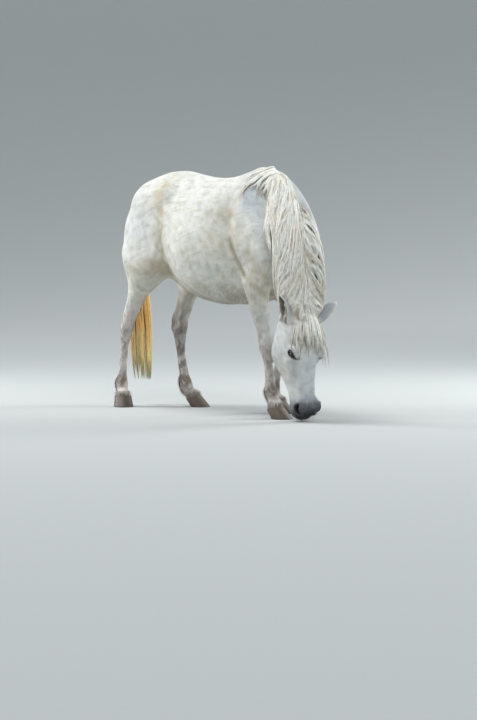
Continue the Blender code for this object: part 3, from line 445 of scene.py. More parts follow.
def markings(places):
    """The coat's colour at each place: cream white on the body, with faint dapples, grass stains and painted
    shade in its folds and under the belly; grey skin showing through on legs, shoulder and ears; slate to
    black round muzzle and eyes, with painted shade in the nostrils and the line of the mouth."""
    places = np.asarray(places, float)
    x, y, z = places[..., 0], places[..., 1], places[..., 2]
    q = folded(places)
    head, limb = is_head(places), smooth_step(0.74, 0.42, z) * (1 - is_head(places))
    shade = np.broadcast_to(screen(226, 225, 216), places.shape).copy()

    def over(colour, amount):
        """Lays a colour over the shade by an amount from 0 to 1."""
        nonlocal shade
        shade = shade + (screen(*colour) - shade) * np.clip(amount, 0, 1)[..., None]

    # dapples, flecks and cooler patches on the trunk
    body = (1 - head) * (1 - limb)
    flat = np.stack([x, z], -1)
    ragged = flat + 0.022 * np.stack([soft_noise(places, 0.09, 81), soft_noise(places, 0.07, 82)], -1)
    dapple = smooth_step(0.1, 0.9, soft_noise(places, 0.085, 3) * soft_noise(places, 0.060, 5) + 0.35)
    over((200, 202, 200), 0.44 * dapple * body)
    fleck = soft_noise(places * [1, 1, 0.7], 0.030, 71) + 0.4 * soft_noise(places, 0.013, 72)
    fleck = smooth_step(0.15, 0.85, fleck)
    over((172, 164, 140), 0.34 * fleck * body)
    over((188, 182, 158), 0.20 * smooth_step(0.0, 0.9, soft_noise(places, 0.21, 73)) * body)
    over((196, 202, 208), 0.55 * near_path(flat, [(0.36, 1.22), (0.45, 1.10), (0.52, 0.98)], 0.085) * body)
    over((198, 206, 213), 0.40 * near_spot(flat, (-0.55, 1.05), (0.12, 0.16)) * body)
    over((190, 188, 178), 0.42 * fleck * near_spot(flat, (-0.55, 1.10), (0.22, 0.24)))
    # grey skin beside the crest, and behind it at the withers
    off_side = smooth_step(0.0, 0.03, y + 0.016 + 0.60 * np.clip(x - 0.466, 0, 1)) * body
    crest_side = [(0.45, 1.29), (0.60, 1.13), (0.68, 0.98)]
    over((150, 162, 170), 0.62 * near_path(flat, crest_side, 0.075) * off_side)
    over((140, 120, 98), 0.50 * near_path(ragged, [(0.59, 1.14), (0.68, 0.99)], 0.022) * off_side)
    over((176, 186, 194), 0.50 * near_path(flat, [(0.26, 1.27), (0.33, 1.16)], 0.075) * body)
    # grass stains darkened by painted shade in the folds of flank, elbow and blade, and painted shade under
    # the belly and across the buttock
    # the stains' noise, which also breaks up the painted shade in the folds below
    stain = 0.55 + 0.45 * soft_noise(places, 0.11, 11)
    # brownish bands along the flank fold and behind the upper arm: grass stain darkened by painted shade in
    # the folds
    over((182, 165, 124), 0.72 * stain * near_path(ragged, HAUNCH, 0.050) * body)
    over((176, 160, 122), 0.60 * stain * near_path(ragged, ARM_BACK + [(0.40, 0.72)], 0.050) * body)
    # thin dark lines in the crease behind the upper arm, strongest on the right side, and in the flank fold:
    # painted shade
    over((122, 108, 84), 0.60 * near_path(flat, ARM_BACK[1:], 0.016) * body * np.where(y < 0, 1, 0.3))
    over((132, 118, 94), 0.40 * near_path(ragged, HAUNCH[2:], 0.016) * body)
    # along the groove between arm and forearm: stain with painted shade in the groove
    over((168, 155, 126), 0.45 * near_path(ragged, ARM_FRONT, 0.028) * body)
    # behind the shoulder blade: a beige stain with painted shade, and the painted shadow of the blade's rear
    # edge
    blade_stain_and_shade = [(0.25, 1.25), (0.20, 1.05), (0.12, 0.95)]
    over((206, 192, 158), 0.45 * stain * near_path(flat, blade_stain_and_shade, 0.060) * body)
    blade_shadow = [(0.29, 1.27), (0.21, 1.19), (0.17, 1.04)]
    over((176, 173, 160), 0.55 * stain * near_path(ragged, blade_shadow, 0.050) * body)
    # under the belly: painted shade in a brownish tone
    over((150, 136, 104), 0.75 * stain * smooth_step(0.78, 0.62, z) * body * (np.abs(x) < 0.6))
    # across the buttock to the stifle fold: painted shade in the fold, brownish
    over((160, 144, 112), 0.60 * stain * near_spot(flat, (-0.50, 0.80), (0.17, 0.05)) * (1 - head))
    over((172, 158, 132), 0.55 * near_spot(flat, (-0.36, 0.80), (0.11, 0.07)))
    # legs: grey skin under thin hair, mottled, with pale fronts, dark streaks and muddy fetlocks
    mottled = smooth_step(-0.7, 0.7, soft_noise(places, 0.070, 21) + 0.5 * soft_noise(places, 0.026, 22))
    over((198, 190, 184), 0.85 * limb)
    over((142, 130, 126), limb * (0.10 + 0.62 * mottled) * smooth_step(0.68, 0.34, z))
    pale_front = bell(z, 0.27, 0.05) + bell(z, 0.10, 0.03)
    over((220, 214, 208), 0.45 * limb * pale_front * (1 - 0.6 * mottled))
    off_hind = (x < -0.2) & (y > 0.0)
    over((118, 112, 106), 0.70 * limb * off_hind * (0.35 + 0.65 * mottled))
    streak = smooth_step(0.55, 0.95, soft_noise(places * [1, 1, 0.28], 0.034, 31))
    over((70, 64, 62), 0.60 * streak * limb * smooth_step(0.56, 0.48, z) * np.where(off_hind, 1.0, 0.45))
    muddy_knee = near_line(places, (0.50, -0.15, 0.390), (0.52, -0.15, 0.345), 0.045)
    over((122, 98, 76), (0.60 + 0.35 * mottled) * muddy_knee)
    over((104, 84, 70), 0.70 * bell(z, 0.145, 0.038) * (0.4 + 0.6 * mottled) * limb)
    over((206, 200, 192), 0.35 * bell(z, 0.095, 0.03) * limb)
    # head: bluish down the nose and behind the jaw, dark round eyes, muzzle and lips, and painted shade in
    # the nostrils and the line of the mouth
    over((202, 205, 203), 0.60 * head)
    over((188, 196, 204), 0.60 * head * near_line(q, (0.50, 0.04, 0.0), (0.82, 0.02, 0.0), 0.085))
    over((186, 190, 192), 0.60 * head * near_spot(q, (0.30, -0.25, 0.17), (0.18, 0.14, 0.12)))
    over((176, 182, 188), 0.55 * head * near_line(q, (0.47, -0.03, 0.13), (0.66, -0.06, 0.10), 0.045))
    over((170, 172, 172), 0.40 * head * smooth_step(0.1, 0.9, soft_noise(places, 0.060, 91)))
    over((198, 180, 160), 0.25 * head * near_spot(q, (0.55, -0.20, 0.14), (0.10, 0.10, 0.10)))
    ring = lid_ring(q)[0]
    over((118, 112, 108), 0.75 * head * smooth_step(2.3, 1.1, ring))
    over((30, 27, 26), 0.96 * head * smooth_step(1.85, 1.35, ring))
    dark = q[..., 0] + 0.020 * soft_noise(places, 0.05, 41) - 0.10 * (q[..., 1] + 0.10)
    dark = smooth_step(0.80, 0.955, dark)
    over((112, 116, 124), 0.80 * head * smooth_step(0.70, 0.88, q[..., 0]))
    over((36, 36, 40), 0.97 * head * dark)
    hole = nostril_ring(q)
    over((84, 84, 90), 0.60 * head * smooth_step(2.6, 1.4, hole))
    # near black in the nostril's opening: painted shade
    over((9, 8, 8), head * smooth_step(1.25, 0.85, hole))
    # near black along the line of the mouth: painted shade in the crease between the lips
    over((20, 18, 18), 0.8 * head * near_path(q, MOUTH[:3], 0.010))
    over((122, 114, 112), 0.45 * head * near_path(q, [(0.985, -0.105, 0.0), (0.960, -0.118, 0.060)], 0.014))
    return np.clip(shade, 0, 1)


def paint(mesh, colours):
    """Keeps a colour at each point of a mesh, for its material to read."""
    layer = mesh.attributes.new("markings", "FLOAT_COLOR", "POINT")
    layer.data.foreach_set("color", np.concatenate([colours, np.ones((len(colours), 1))], 1).ravel())


def lay_map(mesh, spots):
    """Writes a mesh's own map, which has a place for each corner."""
    layer = mesh.uv_layers.new(name="OFBake")
    layer.data.foreach_set("uv", spots.astype(np.float32).ravel())


def corners_of(mesh):
    """The number of the point at each corner of a mesh's faces."""
    corner = np.empty(len(mesh.loops), np.int32)
    mesh.loops.foreach_get("vertex_index", corner)
    return corner


def marked_material(name, finish):
    """A material that reads the colour kept at a mesh's points; finish gives the shader's other values."""
    made = bpy.data.materials.new(name)
    made.use_nodes = True
    nodes, links = made.node_tree.nodes, made.node_tree.links
    colour = nodes.new("ShaderNodeAttribute")
    colour.attribute_name = "markings"
    links.new(colour.outputs["Color"], nodes["Principled BSDF"].inputs["Base Color"])
    for title, value in finish.items():
        nodes["Principled BSDF"].inputs[title].default_value = value
    return made


def vary(made, scale, detail, low, high, stretch=None):
    """Multiplies a material's colour by a noise brought between low and high; gives the noise back."""
    nodes, links = made.node_tree.nodes, made.node_tree.links
    base = nodes["Principled BSDF"].inputs["Base Color"]
    before = base.links[0].from_socket
    where = nodes.new("ShaderNodeTexCoord").outputs["Object"]
    if stretch:
        mapping = nodes.new("ShaderNodeMapping")
        mapping.inputs["Scale"].default_value = stretch
        links.new(where, mapping.inputs["Vector"])
        where = mapping.outputs["Vector"]
    noise = nodes.new("ShaderNodeTexNoise")
    noise.inputs["Scale"].default_value = scale
    noise.inputs["Detail"].default_value = detail
    links.new(where, noise.inputs["Vector"])
    span = nodes.new("ShaderNodeMapRange")
    for title, value in {"From Min": 0.3, "From Max": 0.7, "To Min": low, "To Max": high}.items():
        span.inputs[title].default_value = value
    links.new(noise.outputs["Fac"], span.inputs["Value"])
    mix = nodes.new("ShaderNodeVectorMath")
    mix.operation = "SCALE"
    links.new(before, mix.inputs[0])
    links.new(span.outputs["Result"], mix.inputs["Scale"])
    links.new(mix.outputs["Vector"], base)
    return noise


def raise_grain(made, noise, strength, deep):
    """Lets a noise stand up from a material's surface as a fine relief."""
    nodes, links = made.node_tree.nodes, made.node_tree.links
    relief = nodes.new("ShaderNodeBump")
    relief.inputs["Strength"].default_value = strength
    relief.inputs["Distance"].default_value = deep
    links.new(noise.outputs["Fac"], relief.inputs["Height"])
    links.new(relief.outputs["Normal"], nodes["Principled BSDF"].inputs["Normal"])


def coat_material(name, rough, bump):
    """The markings, broken by fine grain like short hair, over a soft matt surface with a slight sheen."""
    made = marked_material(name, {"Roughness": rough, "Sheen Weight": 0.12, "Sheen Roughness": 0.5,
                                  "Specular IOR Level": 0.25})
    hairs = vary(made, 900, 4, 0.82, 1.06)
    vary(made, 22, 5, 0.86, 1.06)
    raise_grain(made, hairs, bump, 0.002)
    return made


def placed(name, data):
    """An object for a mesh, a lamp or the camera, put into the scene."""
    made = bpy.data.objects.new(name, data)
    bpy.context.scene.collection.objects.link(made)
    return made


def piece(name, mesh, material, slot, *nodes):
    """Puts a finished mesh into the scene, in its material, as a piece of the still model."""
    mesh.materials.append(material)
    mesh.shade_smooth()
    made = placed(name, mesh)
    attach(made, "root")
    if nodes:
        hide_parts(*nodes)


# an unwrap of the skin: each region rolled out round its own axis into its own tile of the map, as the
# tile's corner and size, then the axis's start and end
TILES = {
    "trunk": ((0.00, 0.00, 0.60, 0.50), (-0.82, 0.0, 0.97), (0.52, 0.0, 0.97)),
    "neck": ((0.62, 0.00, 0.36, 0.50), (0.44, 0.0, 1.10), (0.70, -0.12, 0.60)),
    "head": ((0.00, 0.52, 0.38, 0.46), from_head(-0.15, -0.12, 0), from_head(1.03, -0.12, 0)),
}
for number, limb in enumerate(limb_order):
    centre = box_middle("cannon_" + limb)[:2]
    TILES[limb] = ((0.40 + 0.15 * number, 0.52, 0.14, 0.46), (*centre, 0.03), (*centre, 0.66))
tile_names = list(TILES)


def region(places):
    """Which tile a place on the skin belongs to, by its number in TILES."""
    x, y, z = places[..., 0], places[..., 1], places[..., 2]
    number = np.where(x > 0.47, 1, 0)
    limb = np.where(x > 0, np.where(y > 0, 3, 4), np.where(y > 0, 5, 6))
    number = np.where((z < 0.62) & (is_limb(places) > 0.01), limb, number)
    return np.where(is_head(places) > 0.5, 2, number)


def rolled_out(places, regions):
    """Map places: how far along the region's axis, and the angle round it, fitted into its tile."""
    result = np.zeros(places.shape[:-1] + (2,))
    turns = np.zeros(places.shape[:-1])
    for number, name in enumerate(tile_names):
        (left, bottom, wide, tall), start, end = TILES[name]
        start, end = np.array(start), np.array(end)
        axis = unit(end - start)
        aside = unit(np.cross(axis, [0.02, 1, 0.01]))
        other = np.cross(axis, aside)
        away = places - start
        along = np.clip((away @ axis) / np.linalg.norm(end - start), 0, 1)
        angle = np.arctan2(away @ other, away @ aside) / (2 * math.pi) + 0.5
        here = regions == number
        result[here, 0] = (left + wide * along)[here]
        result[here, 1] = (bottom + tall * angle)[here]
        turns[here] = tall
    return result, turns


def unwrap_skin(mesh, places):
    """Writes the skin's own map, with each triangle wholly on one side of its tile's seam."""
    triangle = corners_of(mesh).reshape(-1, 3)
    regions = np.repeat(region(places[triangle].mean(1))[:, None], 3, 1)
    flat, tall = rolled_out(places[triangle], regions)
    top = flat[..., 1].max(1, keepdims=True)
    flat[..., 1] += np.where(top - flat[..., 1] > tall / 2, tall, 0)
    lay_map(mesh, flat)


paint(mesh, markings(skin_points))
unwrap_skin(mesh, skin_points)
piece("skin", mesh, coat_material("short coat", 0.75, 0.35), "coat", *flesh_nodes)
skin_triangles = corners_of(mesh).reshape(-1, 3)

# ================================================================ ears
# Two cupped leaves of thin gristle under short hair, rolled shut at the root and open above, set in
# the skin behind the brow.  The right one points up and opens out to its side, the left one is turned
# out to its side and back.

EAR_WIDE, EAR_WALL = 0.070, 0.0050
EAR_ROWS, EAR_COLUMNS = 44, 33
EARS = {   # root in shares of the head, the way the ear points, the way it opens, its length
    "right": ((0.066, -0.055, -0.127), (-0.06, -0.34, 0.94), (-0.26, -0.95, -0.10), 0.140),
    "left": ((0.085, -0.055, 0.130), (0.20, 0.78, 0.64), (-0.30, 0.75, -0.60), 0.176),
}
# each point's share of the ear's length, from below the skin to the tip, and its turn from edge to edge
ear_share, ear_turn = np.meshgrid(np.linspace(-0.12, 1, EAR_ROWS), np.linspace(-1, 1, EAR_COLUMNS),
                                  indexing="ij")


def ear_sheet(side):
    """A leaf: at each height an arc of a circle, closed to a roll below, widest at two fifths of its
    length and drawn in to a point that leans over the opening.  Gives its places, the way it points and
    the way it opens."""
    root, point, opens, tall = EARS[side]
    up = unit(np.array(point))
    mouth = unit(np.array(opens) - up * np.dot(opens, up))
    s = np.clip(ear_share, 0, 1)
    width = EAR_WIDE / 2 * (0.84 + 0.80 * s) * np.clip(1 - s**1.7, 0, 1) ** 0.75 + 0.0015
    arc = np.radians(150 - 62 * np.clip(s * 1.6, 0, 1)) * ear_turn
    rim = 0.004 * np.abs(ear_turn) ** 6 * np.sin(math.pi * s)
    sheet = (from_head(*root) + (ear_share * tall)[..., None] * up
             + ((width + rim) * np.sin(arc))[..., None] * np.cross(up, mouth)
             + (0.018 * s**2 - 0.75 * width * (np.cos(arc) - 0.3))[..., None] * mouth)
    return sheet, up, mouth


def grid_faces(rows, columns, closed=False):
    """Squares between the points of a grid, closed round its second way if wanted."""
    i, j = np.meshgrid(np.arange(rows - 1), np.arange(columns if closed else columns - 1), indexing="ij")
    k = (j + 1) % columns
    return np.stack([i * columns + j, i * columns + k, (i + 1) * columns + k, (i + 1) * columns + j],
                    -1).reshape(-1, 4)


def face_outwards(mesh):
    """Turns every face of a closed mesh outwards."""
    bm = bmesh.new()
    bm.from_mesh(mesh)
    bmesh.ops.recalc_face_normals(bm, faces=bm.faces)
    bm.to_mesh(mesh)
    bm.free()


# an outer and an inner leaf, joined by a strip of squares round their edge
outer = grid_faces(EAR_ROWS, EAR_COLUMNS)
leaf = np.arange(EAR_ROWS * EAR_COLUMNS).reshape(EAR_ROWS, EAR_COLUMNS)
edge = np.concatenate([leaf[0], leaf[1:, -1], leaf[-1, -2::-1], leaf[-2:0:-1, 0]])
after = np.roll(edge, -1)
strip = np.stack([after, edge, edge + leaf.size, after + leaf.size], 1)
ear_faces = np.concatenate([outer, outer[:, ::-1] + leaf.size, strip]).tolist()
# grey outside with painted shade in its bluish tone, a pale root, brown skin in the hollow, and pale hair
# along the rims of both, brightened as painted rim light
rim = np.maximum(np.abs(ear_turn) ** 4, smooth_step(0.80, 1.0, ear_share)).ravel()[:, None]
base = smooth_step(0.25, 0.0, ear_share).ravel()[:, None]
back = screen(158, 163, 168) * (1 - rim) + screen(222, 219, 212) * rim
back = back * (1 - base) + screen(214, 212, 206) * base
hollow = screen(96, 80, 70) * (1 - rim**2) + screen(214, 208, 198) * rim**2
# half the wall's thickness, least at the rims
wall = EAR_WALL / 2 * np.sqrt(np.clip(1.02 - ear_turn**6, 0, 1) * np.clip(1.05 - ear_share**8, 0.02, 1))

ear_material = coat_material("ear coat", 0.8, 0.3)
ear_hair_roots = []
for side, map_left in (("right", 0.64), ("left", 0.80)):
    sheet, up, mouth = ear_sheet(side)
    slope = unit(np.cross(np.gradient(sheet, axis=0), np.gradient(sheet, axis=1)))
    slope *= np.sign(np.sum(slope[12, EAR_COLUMNS // 2] * mouth))
    leaves = np.stack([sheet - slope * wall[..., None], sheet + slope * wall[..., None]])
    made = bpy.data.meshes.new("ear_" + side)
    made.from_pydata(leaves.reshape(-1, 3).tolist(), [], ear_faces)
    face_outwards(made)
    paint(made, np.concatenate([back, hollow]))
    flat = np.stack([ear_share * 0.10, ear_turn * 0.02 + 0.02], -1)
    flat = np.stack([flat, flat + [0, 0.045]]) + [map_left, 0.905]
    lay_map(made, flat.reshape(-1, 2)[corners_of(made)])
    piece("ear_skin_" + side, made, ear_material, "ear", "ear_" + side)
    ear_hair_roots.append((leaves, slope, up, flat))

# ================================================================ eyes
# Dark brown balls with a level slot of a pupil, wet and clear in front, sitting in the lids' opening
# with only the front of each showing.

EYE_RADIUS, CORNEA_RISE = 0.0195, 0.035
EYE_LOOK = {"right": (0.378, -0.90, 0.06), "left": (0.378, 0.90, 0.06)}   # ahead, left, up the face
wet = marked_material("wet eye", {"Roughness": 0.10, "Specular IOR Level": 0.25, "Coat Weight": 0.25,
                                  "Coat Roughness": 0.03})
theta, phi = np.meshgrid(np.linspace(0, math.pi, 49)[1:-1], np.linspace(0, 2 * math.pi, 65)[:-1],
                         indexing="ij")
rings, around = theta.shape
last = rings * around
caps = [(last, k, (k + 1) % around) for k in range(around)]
caps += [(last + 1, last - around + (k + 1) % around, last - around + k) for k in range(around)]
eye_faces = grid_faces(rings, around, closed=True)[:, ::-1].tolist() + caps
for side, (front, aside, rise) in EYE_LOOK.items():
    # a ball by its angle off the line it looks along and the angle round that line, raised in front
    look = unit(front * head_ahead + aside * head_left - rise * head_down)
    level = unit(np.cross(look, head_down))
    upright = np.cross(level, look)
    bulge = EYE_RADIUS * (1 + CORNEA_RISE * smooth_step(0.75, 0.0, theta))
    ball = ((bulge * np.cos(theta))[..., None] * look
            + (bulge * np.sin(theta) * np.cos(phi))[..., None] * level
            + (bulge * np.sin(theta) * np.sin(phi))[..., None] * upright)
    poles = np.array([look * EYE_RADIUS * (1 + CORNEA_RISE), -look * EYE_RADIUS])
    away = np.concatenate([ball.reshape(-1, 3), poles])
    made = bpy.data.meshes.new("eye_" + side)
    made.from_pydata((away + eye_middle[side]).tolist(), [], eye_faces)
    # brown iris in a dark ball, by distance from the line it looks along, and a level oval pupil
    a, b = away @ level / EYE_RADIUS, away @ upright / EYE_RADIUS
    ahead = (away @ look > 0)[:, None]
    iris = smooth_step(0.66, 0.60, np.hypot(a, b))[:, None] * ahead
    pupil = smooth_step(1.05, 0.90, np.hypot(a / 0.36, b / 0.17))[:, None] * ahead
    colour = screen(38, 30, 27) * (1 - iris) + screen(34, 22, 16) * iris
    paint(made, colour * (1 - pupil) + screen(6, 6, 8) * pupil)
    face_outwards(made)
    piece("eyeball_" + side, made, wet, "eye", "eye_" + side)

# ================================================================ mane
# Coarse cream hair, 10 to 45 cm long, that stands in the crest from withers to poll and falls to both
# sides in overlapping locks.  Each lock is a bundle of tapering strands drawn together at its tip.

# the line of the hair's roots from the withers to the poll, on top of the neck
CREST = np.array([
    (0.309, 0.001, 1.327), (0.395, -0.002, 1.315), (0.466, -0.016, 1.273), (0.527, -0.039, 1.218),
    (0.581, -0.068, 1.158), (0.626, -0.096, 1.094), (0.662, -0.119, 1.028), (0.692, -0.138, 0.959),
    (0.716, -0.152, 0.888), (0.734, -0.164, 0.815), (0.748, -0.173, 0.740), (0.758, -0.179, 0.668),
    (0.765, -0.183, 0.600),
])
# cream hair, its middle tone, and the dark that deeper strands are painted with as painted shade
HAIR_LIGHT, HAIR_MIDDLE, HAIR_SHADE = screen(255, 254, 247), screen(190, 185, 170), screen(88, 82, 74)


def read_rows(table, at):
    """Rows of a table at places along it, 0 to 1, by straight blends."""
    keys = np.linspace(0, 1, len(table))
    return np.stack([np.interp(at, keys, column) for column in np.asarray(table).T], -1)


def laid_on(reading, starts, way, far, settle=0.016):
    """The surface that hair lies on, seen from one side.  From every start a place moves along way, far at
    most, until it meets the form; row by row downward it may fall back by no more than settle, so that
    hair which hangs past an edge hangs free.  Starts are (roots, steps down).  Gives places and outward
    directions, leaning a little against way."""
    gone = np.zeros(starts.shape[:2])
    for _ in range(26):
        step = reading(starts + way * gone[..., None])
        gone = gone + np.clip(step, -0.012, 0.034) * 0.95
    gone = np.minimum(gone, far)
    for k in range(1, starts.shape[1]):
        gone[:, k] = np.minimum(gone[:, k], gone[:, k - 1] + settle)
    places = starts + way * gone[..., None]
    smooth = places.copy()
    for _ in range(3):
        smooth[1:-1] = (smooth[:-2] + 2 * smooth[1:-1] + smooth[2:]) / 4
        smooth[:, 1:-1] = (smooth[:, :-2] + 2 * smooth[:, 1:-1] + smooth[:, 2:]) / 4
    out = unit(np.cross(np.gradient(smooth, axis=0), np.gradient(smooth, axis=1)))
    out = out * np.sign(-(out * way).sum(-1, keepdims=True))
    return smooth, unit(out - 0.35 * way)


def read_sheet(sheet, across, along):
    """A sheet of places at fractional rows and columns, by blends between its four neighbours."""
    rows, columns = sheet.shape[:2]
    i = np.clip(across * (rows - 1), 0, rows - 1.001)
    j = np.clip(along * (columns - 1), 0, columns - 1.001)
    a, b = i.astype(int), j.astype(int)
    f, g = (i - a)[..., None], (j - b)[..., None]
    return ((1 - f) * ((1 - g) * sheet[a, b] + g * sheet[a, b + 1])
            + f * ((1 - g) * sheet[a + 1, b] + g * sheet[a + 1, b + 1]))


skin_tree = kdtree.KDTree(len(skin_points))
for number, place in enumerate(skin_points):
    skin_tree.insert(place, number)
skin_tree.balance()


def map_place(places):
    """The places on the skin's map that lie nearest under some roots."""
    nearest = np.array([skin_tree.find(p)[1] for p in places])
    under = skin_points[nearest]
    return rolled_out(under, region(under))[0]


PATCH = 0.003     # a tuft's share of the skin's map


def tufts(paths, outs, wide, deep, taper, roots_on_map):
    """Closed three-sided spindles along paths: at each point a triangle, wide across the path and deep
    away from the skin, times the taper there, and the last point is the tip.  Gives points, squares,
    triangles, each point's place on the map, and the share of its length at which each point of one
    spindle stands."""
    count, length = paths.shape[:2]
    along = unit(np.gradient(paths, axis=1))
    across = unit(np.cross(along, outs))
    above = np.cross(across, along)
    angle = np.radians([90, 210, 330])
    width = (wide[:, None] * taper[:, :-1])[..., None, None]
    height = (deep[:, None] * taper[:, :-1])[..., None, None]
    ring = (paths[:, :-1, None] + across[:, :-1, None] * np.cos(angle)[:, None] * width
            + above[:, :-1, None] * np.sin(angle)[:, None] * height)
    each = 3 * (length - 1) + 1
    points = np.concatenate([ring.reshape(count, -1, 3), paths[:, -1:]], 1)
    base = (np.arange(count) * each)[:, None, None]
    squares = grid_faces(length - 1, 3, closed=True)[:, ::-1][None] + base
    last = 3 * (length - 2)
    ends = np.array([[0, 1, 2], [last, last + 3, last + 1], [last + 1, last + 3, last + 2],
                     [last + 2, last + 3, last]])
    ends = ends[None] + base
    share = np.concatenate([np.repeat(np.linspace(0, 1, length)[:-1], 3), [1.0]])
    aside = np.concatenate([np.tile([0.0, -0.5, 0.5], length - 1), [0.0]])
    spot = roots_on_map[:, None] + PATCH * np.stack([share - 0.5, aside], -1)
    return points.reshape(-1, 3), squares.reshape(-1, 4), ends.reshape(-1, 3), spot.reshape(-1, 2), share


def hair_mesh(name, points, squares, triangles, spots, colours):
    """One mesh of squares and triangles with its map and its colours."""
    mesh = bpy.data.meshes.new(name)
    mesh.vertices.add(len(points))
    mesh.vertices.foreach_set("co", points.astype(np.float32).ravel())
    corners = np.concatenate([squares.ravel(), triangles.ravel()]).astype(np.int32)
    mesh.loops.add(len(corners))
    mesh.loops.foreach_set("vertex_index", corners)
    starts = np.concatenate([np.arange(len(squares)) * 4, len(squares) * 4 + np.arange(len(triangles)) * 3])
    mesh.polygons.add(len(starts))
    mesh.polygons.foreach_set("loop_start", starts.astype(np.int32))
    mesh.update(calc_edges=True)
    mesh.validate()
    lay_map(mesh, spots[corners])
    paint(mesh, colours)
    return mesh


# the strands' own colours under a gloss like combed hair
hair_look = marked_material("mane hair", {"Roughness": 0.5, "Specular IOR Level": 0.4, "Anisotropic": 0.3})
vary(hair_look, 55, 3, 0.92, 1.10)
HAIR_CLEAR = 0.0012      # how far above the coat a strand lies at least


def combed(name, slot, rng, path, out, s, free, wide, deep, crown, tone):
    """Finishes strands as a piece of the model.  What would sink into the coat is lifted clear of it past
    the first, free part; each strand narrows from a short root to its tip and is up to a quarter thinner
    or thicker than the rest; tone gives the colours from each point's strand, share of the length, luck,
    place on its lock's round back, and place."""
    strands, points = path.shape[:2]
    buried = HAIR_CLEAR - flesh_at(path) - COAT_DEPTH * 0.5
    path = path + out * (np.clip(buried, 0, 0.03) * smooth_step(0.0, free, s))[..., None]
    taper = np.clip(1 - 0.85 * s**2.2, 0.05, 1) * np.clip(s / 0.06 + 0.35, 0, 1) * np.ones((strands, 1))
    scale = rng.uniform(0.75, 1.25, strands)
    *form, share = tufts(path, out, wide * scale, deep * scale, taper, map_place(path[:, 0]))
    which = np.repeat(np.arange(strands), len(share))
    step = np.minimum((share * (points - 1)).astype(int), points - 1)
    luck = rng.normal(0, 1, strands)
    colours = tone(which, np.tile(share, strands), luck, crown[:, step].ravel(), form[0])
    piece(name, hair_mesh(name, *form, colours), hair_look, slot)


def mane_colour(root, share, layer, luck, crown, places):
    """Cream, with painted light on the higher strands and the middles of locks, greyer as painted shade on
    the deeper strands and between locks, yellowed toward some tips.
    """
    # painted light on higher strands and the middles of locks, painted shade on deeper strands and between
    # locks
    light = np.clip(0.10 + 1.05 * layer + 0.30 * luck + 0.20 * (crown - 0.6), -0.4, 1)[:, None]
    between = 0.8 * np.clip(0.45 - crown, 0, 1) * smooth_step(0.1, 0.4, share)
    painted_shade = np.clip(np.clip(0.40 - layer, 0, 1) * 2.8 + between, 0, 0.85)[:, None]
    tone = HAIR_MIDDLE + (HAIR_LIGHT - HAIR_MIDDLE) * light
    tone = tone + (HAIR_SHADE - tone) * painted_shade
    warm = np.clip(0.10 + 0.40 * soft_noise(places, 0.16, 51) + 0.20 * share, 0, 0.6)[:, None]
    return tone + (screen(224, 204, 164) - tone) * warm * 0.4


